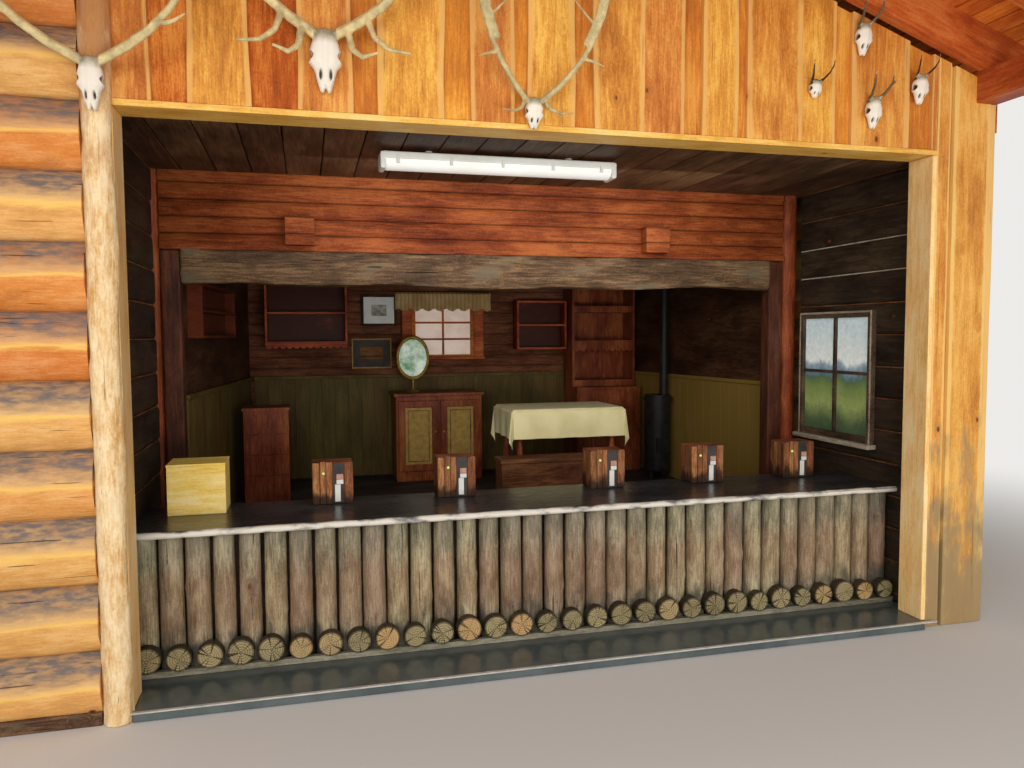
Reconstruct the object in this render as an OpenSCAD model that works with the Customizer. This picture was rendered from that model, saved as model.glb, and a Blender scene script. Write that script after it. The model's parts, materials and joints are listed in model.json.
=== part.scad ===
// Timber hut with an open front, a counter on a palisade of round poles, and a furnished
// niche behind a hewn beam, under a gable roof that reaches out over the front.
// Millimetres. X runs along the front, Y into the hut, Z up. The ground is Z = 0 and the
// origin is the middle of the plan. Y is measured from the front face in every module
// below, and in_plan() moves it to the middle of the plan.

/* [Plan] */
// Width of the log wall at the left of the opening
left_bay_w = 586; // [400:2:1200]
// Width of the boarded pier at the right of the opening
pier_w = 389; // [320:1:600]
// Depth of the niche behind the hewn beam
niche_depth = 2170; // [1900:10:2800]
// Height of the side walls, to the underside of the eave beams
eave_h = 2925; // [2860:5:3200]

/* [Log walls] */
// Height of one course of logs
course_h = 292; // [250:1:320]
// Thickness of a log wall over the crown of its logs
log_t = 180; // [160:5:210]
// How far a log swells out of the wall
log_bulge = 70; // [40:5:80]
// Height of the sill under the logs
sill_h = 60; // [40:5:90]
// Side of a corner post
corner_w = 200; // [190:5:240]

/* [Opening] */
// Clear width of the opening
opening_w = 4086; // [3900:2:4140]
// Height of the opening's head over the ground
opening_h = 2630; // [2500:5:2660]
// Thickness of the lining boards
lining_t = 28; // [20:1:40]
// Depth of the lining, and of the front wall
lining_d = 180; // [160:5:220]
// Width of the hewn post at the left of the opening
hewn_post_w = 128; // [100:2:150]
// How far the hewn post stands out of the front
hewn_post_out = 60; // [40:2:70]
// How far the hewn post laps over the edge of the opening
hewn_lap = 7; // [0:1:20]
// Thickness of the gable walls
gable_t = 150; // [80:5:150]

/* [Roof] */
// Pitch of the roof in degrees
roof_pitch = 19.2; // [15:0.1:24]
// Reach of the roof in front of the front wall
front_out = 1160; // [700:10:1400]
// Reach of the roof behind the back wall
back_out = 400; // [300:10:700]
// Reach of the roof past a side wall
eave_out = 450; // [300:10:600]
// Depth of a rafter, square to the slope
rafter_h = 200; // [140:5:220]
// Thickness of a rafter
rafter_t = 80; // [60:5:100]
// Largest distance between rafters
rafter_pitch = 560; // [500:10:900]
// Width of an eave beam
eave_beam_w = 140; // [100:5:160]
// Height of an eave beam at its outer face
eave_beam_h = 120; // [100:5:160]
// Width of the ridge beam
ridge_beam_w = 140; // [100:5:180]
// Height of the ridge beam at its sides
ridge_beam_h = 220; // [160:5:260]
// Thickness of the roof boards
deck_t = 24; // [18:1:30]
// Thickness of a shingle course at its lower edge
shingle_t = 26; // [16:1:34]
// Length of shingle that each course shows
shingle_show = 165; // [120:5:220]
// Thickness of the barge boards
barge_t = 24; // [18:1:32]
// Depth of the barge boards
barge_h = 250; // [200:5:290]
// Width of a ridge board
ridge_cap_w = 170; // [130:5:200]

/* [Counter] */
// Height of the ledge at the foot of the opening
ledge_h = 45; // [30:5:60]
// How far the ledge stands out of the front
ledge_out = 35; // [0:5:60]
// Height of the counter top
counter_h = 747; // [700:1:850]
// Distance of the counter's front edge behind the front face
counter_y = 300; // [260:5:360]
// Depth of the counter top
counter_d = 600; // [560:5:700]
// Thickness of the counter top
counter_t = 34; // [26:1:45]
// Spacing of the poles
pole_pitch = 121; // [114:0.5:140]
// Radius of the thickest poles
pole_r = 56; // [44:0.5:58]
// Spacing of the foot logs
foot_pitch = 141; // [134:1:150]
// Radius of the thickest foot logs
foot_r = 66; // [50:0.5:68]
// Length of a foot log
foot_l = 55; // [40:1:70]
// Height of the strip under the foot logs
strip_h = 30; // [20:1:40]
// Thickness of the board wall behind the poles
counter_wall_t = 30; // [20:1:40]

/* [Inside] */
// Thickness of the inner board walls
inner_wall_t = 40; // [28:1:50]
// Gap between the opening's side and the inner wall
inner_wall_gap = 77; // [40:1:90]
// Thickness of the ceiling boards
ceiling_t = 28; // [20:1:40]
// Distance of the hewn beam's face behind the front face
beam_y = 1300; // [1200:5:1500]
// Thickness of the hewn beam
beam_t = 130; // [100:5:150]
// Height of the hewn beam
beam_h = 200; // [160:5:240]
// Height of the hewn beam's underside
beam_z = 1972; // [1850:1:2000]
// Thickness of the log-profile boards over the beam
bulkhead_t = 50; // [40:1:60]
// Height of one log-profile board
board_h = 98; // [80:1:130]
// Side of a block end that stands out over the beam
block_w = 168; // [120:2:200]
// Diameter of an outer niche post
outer_post_dia = 122; // [100:2:126]
// Side of an inner niche post
inner_post_w = 108; // [90:2:120]
// Height of the niche floor
stage_h = 400; // [300:5:480]
// Largest distance between the joists of the niche floor
joist_pitch = 420; // [300:10:600]
// How far each niche side leans in from front to back
niche_splay = 240; // [100:5:300]
// How far the beam's ends stay inside the opening's sides
beam_inset = 110; // [90:2:160]
// Distance of the niche's middle to the right of the opening's middle
niche_shift = -50; // [-60:5:20]
// Thickness of the niche's boards
niche_t = 40; // [28:1:60]
// Gap between the niche's back and the log wall
niche_gap = 80; // [40:5:120]
// Height of the wainscot's top
wainscot_top = 1315; // [1200:5:1400]

/* [Furniture] */
// Width of the dresser
dresser_w = 790; // [700:10:850]
// Height of the dresser
dresser_h = 765; // [700:5:820]
// Depth of the dresser
dresser_d = 430; // [350:5:480]
// Width of the tall cupboard
hutch_w = 620; // [550:5:660]
// Height of the tall cupboard
hutch_h = 1850; // [1700:10:1900]
// Depth of the tall cupboard's lower part
hutch_d = 400; // [350:5:450]
// Length of the table
table_l = 900; // [800:10:950]
// Width of the table
table_w = 560; // [450:10:600]
// Height of the table
table_h = 690; // [650:5:760]
// Drop of the tablecloth
cloth_drop = 240; // [150:5:300]
// Width of the pelmet over the niche window
pelmet_w = 878; // [800:2:900]
// Height of the pelmet
pelmet_h = 172; // [120:2:200]
// Width of the upper picture frame
frame_1_w = 320; // [260:5:360]
// Height of the upper picture frame
frame_1_h = 285; // [240:5:300]
// Width of the lower picture frame
frame_2_w = 355; // [300:5:380]
// Height of the lower picture frame
frame_2_h = 268; // [220:2:300]
// Width of the oval mirror
mirror_w = 300; // [240:5:340]
// Height of the oval mirror
mirror_h = 400; // [320:5:440]
// Diameter of the stove
stove_dia = 230; // [180:5:260]
// Height of the stove
stove_h = 740; // [600:5:800]
// Length of the chest
chest_l = 740; // [600:10:800]
// Height of the chest
chest_h = 350; // [300:5:380]
// Width of the drawer cabinet
cabinet_w = 330; // [280:5:380]
// Height of the drawer cabinet
cabinet_h = 722; // [640:2:800]
// Width of the plate shelf
plate_shelf_w = 690; // [600:5:720]
// Height of the plate shelf
plate_shelf_h = 530; // [450:5:560]
// Width of the small shelf
small_shelf_w = 480; // [400:5:500]
// Height of the small shelf
small_shelf_h = 450; // [380:5:480]
// Depth of both shelves
shelf_d = 150; // [120:5:180]
// Length of the spice shelf on the niche's left side
spice_shelf_l = 1000; // [700:10:1100]
// Height of the spice shelf
spice_shelf_h = 340; // [260:5:360]
// Depth of the spice shelf
spice_shelf_d = 90; // [60:5:110]
// Width of the painted window
painted_w = 740; // [700:5:760]
// Height of the painted window
painted_h = 834; // [780:2:860]
// Width of the niche window
window_w = 756; // [640:2:780]
// Height of the niche window
window_h = 587; // [520:1:620]
// Length of the lamp
lamp_l = 1290; // [1200:10:1300]
// Width of the lamp
lamp_w = 140; // [100:5:160]
// Height of the lamp
lamp_h = 88; // [60:2:100]

/* [Antler mounts] */
// Width of the stags' antlers
stag_spread = 860; // [700:10:900]
// Height of a stag's antlers over its skull
stag_rise = 500; // [400:10:560]
// Length of a stag's skull
stag_skull_l = 260; // [220:5:280]
// Width of the fallow buck's antlers
buck_spread = 640; // [500:10:680]
// Height of the fallow buck's antlers over its skull
buck_rise = 620; // [500:10:660]
// Length of the fallow buck's sawn skull
buck_skull_l = 130; // [110:5:150]
// Width of the roebucks' antlers
roe_spread = 110; // [80:5:140]
// Height of a roebuck's antlers over its skull
roe_rise = 120; // [90:5:140]
// Length of a roebuck's skull
roe_skull_l = 155; // [130:5:170]
// Width of the chamois' horns
horn_spread = 120; // [90:5:150]
// Height of a chamois' horns over its skull
horn_rise = 105; // [80:5:120]
// How far the stags' antlers stand forward
stag_ahead = 130; // [100:5:160]
// How far the fallow buck's antlers stand forward
buck_ahead = 190; // [150:5:220]
// How far the roebucks' antlers stand forward
roe_ahead = 95; // [80:5:110]
// How far the chamois' horns stand forward
horn_ahead = 85; // [70:5:100]
// Width of the fallow buck's blades
buck_blade = 34; // [20:2:50]
// Crown of the left stag under the rafters' line
post_stag_drop = 564; // [520:1:600]
// To the right stag, from the opening's middle to the left
stag_x = 1176; // [1120:2:1240]
// Crown of the right stag under the rafters' line
stag_drop = 688; // [660:1:720]
// To the fallow buck, from the opening's middle to the left
buck_x = 226; // [180:2:280]
// Crown of the fallow buck over the head lining
buck_z = 97; // [70:1:130]
// To the upper roebuck, from the opening's right side
high_roe_x = 478; // [460:2:500]
// Crown of the upper roebuck, as a share of the gable's height there
high_roe_up = 0.86; // [0.8:0.01:0.88]
// To the lower roebuck, from the opening's right side
low_roe_x = 408; // [390:2:430]
// Crown of the lower roebuck, as a share of the gable's height there
low_roe_up = 0.34; // [0.3:0.01:0.38]
// To the left chamois, from the opening's right side
left_horn_x = 757; // [720:2:800]
// Crown of the left chamois, as a share of the gable's height there
left_horn_up = 0.37; // [0.3:0.01:0.45]
// To the right chamois, from the opening's right side
right_horn_x = 119; // [110:2:140]
// Crown of the right chamois, as a share of the gable's height there
right_horn_up = 0.64; // [0.6:0.01:0.68]

/* [Places from the opening's left side] */
// To the plywood box
ply_box_x = 52; // [40:2:120]
// To the drawer cabinet
cabinet_x = 290; // [280:5:340]
// To the plate shelf
plate_shelf_x = 425; // [400:5:500]
// To the middle of the left block end
left_block_x = 738; // [600:2:900]
// To the middle of the first slatted box
box_1_x = 886; // [800:2:960]
// To the middle of the second slatted box
box_2_x = 1572; // [1480:2:1660]

/* [Places from the opening's middle, to the right] */
// To the middle of the dresser
dresser_mid = -168; // [-240:2:-100]
// To the middle of the niche window
window_mid = -60; // [-120:2:0]
// To the middle of the upper picture frame
frame_1_mid = -640; // [-700:2:-620]
// To the middle of the lower picture frame
frame_2_mid = -710; // [-730:2:-660]
// To the middle of the oval mirror
mirror_mid = -369; // [-400:1:-330]
// To the middle of the lamp
lamp_mid = -251; // [-400:1:0]
// To the middle of the third slatted box
box_3_mid = 443; // [360:1:520]

/* [Places from the opening's right side] */
// To the right side of the tall cupboard
hutch_in = 316; // [300:2:340]
// To the right end of the small shelf
small_shelf_in = 951; // [945:2:1000]
// To the right end of the table
table_in = 911; // [880:2:1000]
// To the right end of the chest
chest_in = 1216; // [1150:2:1300]
// To the middle of the stove
stove_in = 368; // [360:2:450]
// To the middle of the right block end
right_block_in = 1048; // [900:2:1200]
// To the middle of the fourth slatted box
box_4_in = 944; // [860:2:1020]
// To the middle of the fifth slatted box
box_5_in = 304; // [240:2:380]

/* [Other places] */
// Distance of the table behind the niche's front
table_y = 720; // [715:5:800]
// Distance of the chest behind the niche's front
chest_y = 500; // [450:5:505]
// Distance of the stove's middle behind the niche's front
stove_y = 1260; // [1150:5:1330]
// Distance of the drawer cabinet behind the niche's front
cabinet_y = 1180; // [1120:5:1260]
// Distance of the spice shelf behind the niche's front
spice_shelf_y = 120; // [60:10:240]
// Height of the spice shelf's underside
spice_shelf_z = 1656; // [1560:2:1700]
// Height of the plate shelf's underside
plate_shelf_z = 1600; // [1560:1:1640]
// Height of the small shelf's underside
small_shelf_z = 1530; // [1480:5:1580]
// Height of the upper picture frame's underside
frame_1_z = 1750; // [1720:2:1800]
// Height of the lower picture frame's underside
frame_2_z = 1372; // [1340:2:1420]
// Height of the mirror's lowest point over the dresser
mirror_z = 102; // [60:2:160]
// Height of the niche window's underside
window_z = 1443; // [1400:1:1470]
// Distance of the painted window in front of the hewn beam
painted_end = 55; // [30:1:90]
// Height of the painted window's underside
painted_z = 972; // [900:2:1000]
// Distance of the lamp behind the front face
lamp_y = 470; // [400:5:560]

/* [Hidden] */
$fn = 48;
overcut = 1;
joint_gap = 0.5;
ridge_gap = 2;

hut_w = corner_w + left_bay_w + hewn_post_w - hewn_lap + opening_w + lining_t + pier_w;
hut_d = beam_y + beam_t + niche_depth + niche_t + niche_gap + log_t;
half_w = hut_w / 2;
front_y = (front_out - back_out - hut_d) / 2;
slope = tan(roof_pitch);
eave_rake = eave_h + eave_beam_h;
rake_0 = eave_rake + slope * half_w;
function rake(x) = rake_0 - slope * abs(x);
rafter_v = rafter_h / cos(roof_pitch);
deck_v = deck_t / cos(roof_pitch);
shingle_v = shingle_t / cos(roof_pitch);
eave_x = half_w + eave_out;

open_r = half_w - pier_w - lining_t;
open_l = open_r - opening_w;
open_mid = (open_l + open_r) / 2;
jamb_l = open_l - lining_t;
jamb_r = open_r + lining_t;
head_top = opening_h + lining_t;
hewn_post_l = open_l + hewn_lap - hewn_post_w;
log_r = (course_h * course_h / 4 + log_bulge * log_bulge) / (2 * log_bulge);
sill_lap = 40;
course_start = sill_h - sill_lap;
front_step = 30;
front_log_y = log_bulge - front_step;
wall_in = half_w - log_t;
back_in = hut_d - log_t;
sill_set = 20;
sill_in = log_t - sill_set;

inner_l = open_l - inner_wall_gap;
inner_r = open_r + inner_wall_gap;
post_set = 12;
board_swell = 12;
wainscot_t = 14;
scallop_w = 58;
drawer_count = 4;
antler_sides = 6;
skull_sides = 12;
casing_t = 40;
side_start = 12;
niche_y = back_in - niche_gap - niche_t;
dresser_y = niche_y - board_swell - wainscot_t - dresser_d;
niche_front_y = beam_y + beam_t;
beam_l = open_l + niche_shift + beam_inset;
beam_r = open_r + niche_shift - beam_inset;
niche_l = beam_l - side_start;
niche_r = beam_r + inner_post_w;
bulkhead_l = beam_l - inner_post_w;
bulkhead_r = beam_r + inner_post_w;
splay_angle = atan(niche_splay / niche_depth);
side_l = niche_depth / cos(splay_angle);
back_l = niche_l + niche_splay;
back_r = niche_r - niche_splay;
stage_t = 30;
counter_under = counter_h - counter_t;
foot_set = 10;
foot_y = counter_y - foot_set;
pole_y = foot_y + foot_l + pole_r;
counter_wall_y = pole_y + pole_r + joint_gap;
strip_y = counter_y + foot_set;
strip_top = ledge_h + strip_h;
pole_count = floor((inner_r - inner_l - 2 * pole_r) / pole_pitch) + 1;
foot_count = floor((inner_r - inner_l - 2 * foot_r) / foot_pitch) + 1;
board_count = ceil((opening_h - beam_z - beam_h) / board_h);

// Everything is drawn from the front face, and moved here to the middle of the plan.
module in_plan() {
    translate([0, front_y, 0]) children();
}

// A box between two corners.
module block(low, high) {
    translate(low) cube(high - low);
}

// The space under the rafters, used to cut what reaches the slope.
module under_rake(y0, y1) {
    translate([0, y1, 0]) rotate([90, 0, 0]) linear_extrude(height = y1 - y0)
        polygon([[-half_w, 0], [half_w, 0], [half_w, rake(half_w)], [0, rake_0],
                 [-half_w, rake(half_w)]]);
}

// Section of a log wall: flat inside, one swelling for each course outside.
module log_section(top) {
    courses = ceil((top - course_start) / course_h);
    intersection() {
        union() {
            square([log_t - log_bulge, top]);
            for (k = [0:courses - 1])
                translate([log_t - log_r, course_start + (k + 0.5) * course_h])
                    circle(r = log_r);
        }
        translate([0, sill_h]) square([log_t, top - sill_h]);
    }
}

// A log wall that faces +X, from Y = 0 to its length.
module log_wall(length, top) {
    translate([0, length, 0]) rotate([90, 0, 0]) linear_extrude(height = length)
        log_section(top);
}

// Sill beams under the log walls, open at the front between the posts.
module ground_sill() {
    side_l = hut_d - corner_w - lining_d;
    color("#8f8a80") in_plan() {
        for (x = [-half_w + sill_set, half_w - sill_in])
            block([x, lining_d, 0], [x + sill_in - sill_set, lining_d + side_l, sill_h]);
        block([-half_w + corner_w, hut_d - sill_in, 0], [half_w - corner_w, hut_d - sill_set, sill_h]);
        block([-half_w + corner_w, -sill_set, 0], [hewn_post_l, log_t - front_log_y, sill_h]);
    }
}

// Logs at the left of the opening, cut to the slope at the top.
module front_logs() {
    length = hewn_post_l + half_w - corner_w;
    top = rake(half_w - corner_w - length);
    color("#d98a3d") in_plan()
        intersection() {
            translate([-half_w + corner_w, log_t - front_log_y, 0]) rotate([0, 0, -90])
                log_wall(length, top);
            under_rake(-log_t, log_t);
        }
}

module left_logs() {
    color("#c98245") in_plan()
        translate([-wall_in, lining_d, 0]) mirror([1, 0, 0])
            log_wall(hut_d - corner_w - lining_d, eave_h);
}

module right_logs() {
    color("#c98245") in_plan()
        translate([wall_in, lining_d, 0])
            log_wall(hut_d - corner_w - lining_d, eave_h);
}

module back_logs() {
    color("#c98245") in_plan()
        translate([half_w - corner_w, back_in, 0]) rotate([0, 0, 90])
            log_wall(hut_w - 2 * corner_w, eave_h);
}

// Square posts at the corners that no pier takes.
module corner_posts() {
    color("#d7a45c") in_plan() {
        difference() {
            intersection() {
                block([-half_w, -sill_set, 0], [-half_w + corner_w, lining_d, rake_0]);
                under_rake(-corner_w, corner_w);
            }
            eave_beam_pair(0);
        }
        for (x = [-half_w, half_w - corner_w])
            block([x, hut_d - corner_w, 0], [x + corner_w, hut_d, eave_h]);
    }
}

// Outline of the hewn post seen from the front, with its edges wavering up its height.
module hewn_outline(width, height, waver) {
    steps = 24;
    polygon(concat(
        [for (k = [0:steps]) [waver * sin(k * 67) * (k % steps == 0 ? 0 : 1),
                              height * k / steps]],
        [for (k = [steps:-1:0]) [width - waver + waver * sin(k * 53 + 40),
                                 height * k / steps]]));
}

// The hewn post: a squared core behind the front and a rounded face in front of it.
module hewn_post() {
    height = rake(hewn_post_l);
    waver = 4;
    face_r = (hewn_post_w * hewn_post_w / 4 + hewn_post_out * hewn_post_out)
        / (2 * hewn_post_out);
    color("#cf9a58") in_plan()
        intersection() {
            union() {
                block([hewn_post_l, 0, 0], [jamb_l, lining_d, height]);
                intersection() {
                    translate([hewn_post_l + hewn_post_w / 2, face_r - hewn_post_out, 0])
                        cylinder(r = face_r, h = height, $fn = 64);
                    translate([hewn_post_l, 0, 0]) rotate([90, 0, 0])
                        linear_extrude(height = hewn_post_out + overcut)
                            hewn_outline(hewn_post_w, height, waver);
                }
            }
            under_rake(-lining_d, lining_d + overcut);
        }
}

// Boarded pier at the right of the opening: a narrow board, a wide one and a corner strip.
module right_pier() {
    narrow_w = 84;
    groove = 18;
    strip_w = 36;
    strip_gap = 6;
    face = 22;
    color("#d99a4e") in_plan()
        difference() {
            intersection() {
                block([jamb_r, 0, 0], [half_w, lining_d, rake_0]);
                under_rake(-overcut, lining_d + overcut);
            }
            for (x = [[jamb_r + narrow_w, groove], [half_w - strip_w, strip_gap]])
                block([x[0], -overcut, -overcut], [x[0] + x[1], face, rake_0 + overcut]);
            eave_beam_pair(0);
        }
}

// Lining boards on both sides and over the head of the opening.
module opening_lining() {
    color("#e3b368") in_plan() {
        block([jamb_l, 0, ledge_h], [open_l, lining_d, opening_h - joint_gap]);
        block([open_r, 0, ledge_h], [jamb_r, lining_d, opening_h - joint_gap]);
        block([jamb_l, 0, opening_h], [jamb_r, lining_d, head_top]);
    }
}

// Boarded gable over the opening.
module front_gable() {
    color("#e09a45") in_plan()
        difference() {
            intersection() {
                block([jamb_l, 0, head_top], [jamb_r, gable_t, rake_0]);
                under_rake(-overcut, gable_t + overcut);
            }
            ridge_beam_bar(overcut);
        }
}

// Boarded gable over the back wall.
module back_gable() {
    color("#c98a4a") in_plan()
        difference() {
            intersection() {
                block([-half_w, hut_d - gable_t, eave_h], [half_w, hut_d, rake_0]);
                under_rake(hut_d - gable_t - overcut, hut_d + overcut);
            }
            eave_beam_pair(overcut);
            ridge_beam_bar(overcut);
        }
}

// Section of an eave beam, with its top cut to the slope.
module eave_beam_bar(grow) {
    reach = front_out + hut_d + back_out;
    translate([0, hut_d + back_out, 0]) rotate([90, 0, 0]) linear_extrude(height = reach)
        polygon([[half_w - eave_beam_w - grow, eave_h], [half_w + grow, eave_h],
                 [half_w + grow, rake(half_w) + grow],
                 [half_w - eave_beam_w - grow, rake(half_w - eave_beam_w) + 2 * grow]]);
}

module eave_beam_pair(grow) {
    eave_beam_bar(grow);
    mirror([1, 0, 0]) eave_beam_bar(grow);
}

module ridge_beam_bar(grow) {
    reach = front_out + hut_d + back_out;
    side = ridge_beam_w / 2 + grow;
    low = rake(ridge_beam_w / 2) - ridge_beam_h - grow;
    translate([0, hut_d + back_out, 0]) rotate([90, 0, 0]) linear_extrude(height = reach)
        polygon([[-side, low], [side, low], [side, rake(side) + grow],
                 [0, rake_0 + grow], [-side, rake(side) + grow]]);
}

module ridge_beam() {
    color("#b5652f") in_plan() ridge_beam_bar(0);
}

// Eave beams on the side walls, reaching out under the front of the roof.
module eave_beams() {
    color("#a9552c") in_plan() eave_beam_pair(0);
}

// Places of the rafters along the roof: both ends, both wall faces, and between them.
function spread(first, last) =
    let (bays = ceil((last - first) / rafter_pitch))
    [for (k = [0:bays - 1]) first + k * (last - first) / bays];
rafter_places = concat(spread(-front_out, -rafter_t), spread(-rafter_t, hut_d),
                       spread(hut_d, hut_d + back_out - rafter_t),
                       [hut_d + back_out - rafter_t]);

module rafter(y) {
    fascia = 20;
    foot = eave_x - fascia;
    translate([0, y + rafter_t, 0]) rotate([90, 0, 0]) linear_extrude(height = rafter_t)
        polygon([[ridge_gap, rake(ridge_gap)], [foot, rake(foot)], [foot, rake(foot) + rafter_v],
                 [ridge_gap, rake(ridge_gap) + rafter_v]]);
}

module rafters() {
    color("#cf8238") in_plan()
        for (y = rafter_places) {
            rafter(y);
            mirror([1, 0, 0]) rafter(y);
        }
}

// Roof boards on one slope.
module deck_side() {
    reach = front_out + hut_d + back_out;
    translate([0, hut_d + back_out, 0]) rotate([90, 0, 0]) linear_extrude(height = reach)
        polygon([[ridge_gap, rake(ridge_gap) + rafter_v], [eave_x, rake(eave_x) + rafter_v],
                 [eave_x, rake(eave_x) + rafter_v + deck_v],
                 [ridge_gap, rake(ridge_gap) + rafter_v + deck_v]]);
}

module roof_deck() {
    color("#c8642c") in_plan() {
        deck_side();
        mirror([1, 0, 0]) deck_side();
    }
}

// Shingle courses on one slope: each course is thick at its lower edge.
module shingle_side() {
    reach = front_out + hut_d + back_out;
    drip = 30;
    thin_share = 0.3;
    show_x = shingle_show * cos(roof_pitch);
    run = eave_x + drip - ridge_gap;
    courses = ceil(run / show_x);
    bed = function(x) rake(x) + rafter_v + deck_v;
    thin = shingle_v * thin_share;
    low = function(k) eave_x + drip - k * show_x;
    translate([0, hut_d + back_out, 0]) rotate([90, 0, 0]) linear_extrude(height = reach)
        polygon(concat(
            [[ridge_gap, bed(ridge_gap)], [eave_x + drip, bed(eave_x + drip)]],
            [for (k = [0:courses - 1], end = [0, 1])
                let (x = max(ridge_gap, low(k + end)))
                [x, bed(x) + (end == 0 ? shingle_v : thin)]]));
}

module shingles() {
    color("#6f5138") in_plan() {
        shingle_side();
        mirror([1, 0, 0]) shingle_side();
    }
}

// Two boards that cover the joint at the ridge.
module ridge_cap() {
    reach = front_out + hut_d + back_out;
    bed = function(x) rake(x) + rafter_v + deck_v + shingle_v;
    wing = ridge_cap_w * cos(roof_pitch);
    split = joint_gap / 2;
    color("#64482f") in_plan()
        for (turn = [0, 1])
            mirror([turn, 0, 0]) translate([0, hut_d + back_out, 0]) rotate([90, 0, 0])
                linear_extrude(height = reach)
                    polygon([[split, bed(split)], [wing, bed(wing)],
                             [wing, bed(wing) + deck_v], [split, bed(split) + deck_v]]);
}

// One board on the end of a slope.
module barge_board(y) {
    top_gap = ridge_gap / 2;
    drop = barge_h / cos(roof_pitch);
    top = function(x) rake(x) + rafter_v + deck_v;
    translate([0, y + barge_t, 0]) rotate([90, 0, 0]) linear_extrude(height = barge_t)
        polygon([[top_gap, top(top_gap) - drop], [eave_x, top(eave_x) - drop],
                 [eave_x, top(eave_x)], [top_gap, top(top_gap)]]);
}

module barge_boards() {
    color("#b8743a") in_plan()
        for (y = [-front_out - barge_t, hut_d + back_out]) {
            barge_board(y);
            mirror([1, 0, 0]) barge_board(y);
        }
}

// A rounded stick through a row of places, each with its radius after its three coordinates.
module stick(places) {
    for (k = [0:len(places) - 2])
        hull()
            for (p = [places[k], places[k + 1]])
                translate([p[0], p[1], p[2]]) sphere(r = p[3], $fn = antler_sides);
}

// A place on an antler's beam, at a share of its length: out from the skull, forward and up.
function beam_at(spread, rise, ahead, thick, share) =
    let (root_x = 2 * thick, root_y = -2 * thick, thinning = 0.65)
    [root_x + (spread / 2 - root_x) * sin(90 * share), root_y - ahead * sin(90 * share),
     rise * (share + share * share) / 2, thick * (1 - thinning * share * share)];

// A place on a tine that starts at a root, bends and ends, at a share of its length.
function tine_at(root, bend, end, share) =
    let (start_r = 0.8, thinning = 0.5)
    [for (i = [0:2]) root[i] + 2 * share * (1 - share) * bend[i] + share * share * end[i],
     root[3] * (start_r - thinning * share)];

// One antler: a curved beam and its tines, each with its start on the beam, bend and end.
module antler(spread, rise, ahead, thick, tines, blade = 0) {
    long_beam = 200;
    steps = rise > long_beam ? 6 : 4;
    tine_steps = rise > long_beam ? 3 : 2;
    blade_thin = 0.7;
    beam = [for (k = [0:steps]) beam_at(spread, rise, ahead, thick, k / steps)];
    stick(beam);
    for (tine = tines)
        stick([for (k = [0:tine_steps])
            tine_at(beam_at(spread, rise, ahead, thick, tine[0]), tine[1], tine[2], k / tine_steps)]);
    if (blade > 0)
        for (k = [steps / 2:steps - 1])
            hull()
                for (p = [beam[k], beam[k + 1]], x = [0, -blade])
                    translate([p[0] + x, p[1], p[2]]) sphere(r = p[3] * blade_thin, $fn = antler_sides);
}

// A skull that hangs nose down with its flat back on a wall at Y = 0 and its crown at Z = 0.
module skull(length, width) {
    thick = 0.55 * width;
    crown_r = 0.33 * width;
    brow_r = 0.5 * width;
    nose_r = 0.17 * width;
    crown_z = -0.1 * length;
    brow_z = -0.42 * length;
    nose_z = -0.9 * length;
    brow_d = 0.62;
    brow_h = 0.7;
    cheek_w = 0.78;
    intersection() {
        union() {
            hull() {
                translate([0, -thick / 2, crown_z]) sphere(r = crown_r, $fn = skull_sides);
                translate([0, -thick / 2, brow_z]) scale([1, brow_d, brow_h])
                    sphere(r = brow_r, $fn = skull_sides);
            }
            hull() {
                translate([0, -thick / 2, brow_z]) scale([cheek_w, brow_d, brow_h])
                    sphere(r = brow_r, $fn = skull_sides);
                translate([0, -thick / 3, nose_z]) scale([1, 0.8, 0.6])
                    sphere(r = nose_r, $fn = skull_sides);
            }
        }
        block([-width, -2 * width, -2 * length], [width, 0, length]);
    }
}

// A skull with the same antler or horn on both sides.
module mount(length, width, spread, rise, ahead, thick, tines, blade = 0) {
    skull(length, width);
    for (side = [0, 1])
        mirror([side, 0, 0]) antler(spread, rise, ahead, thick, tines, blade);
}

// Height of a place on the gable, at a share of the way from the head lining to the rafters.
function gable_place(x, up) = [x, 0, head_top + up * (rake(x) - head_top)];

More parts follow.
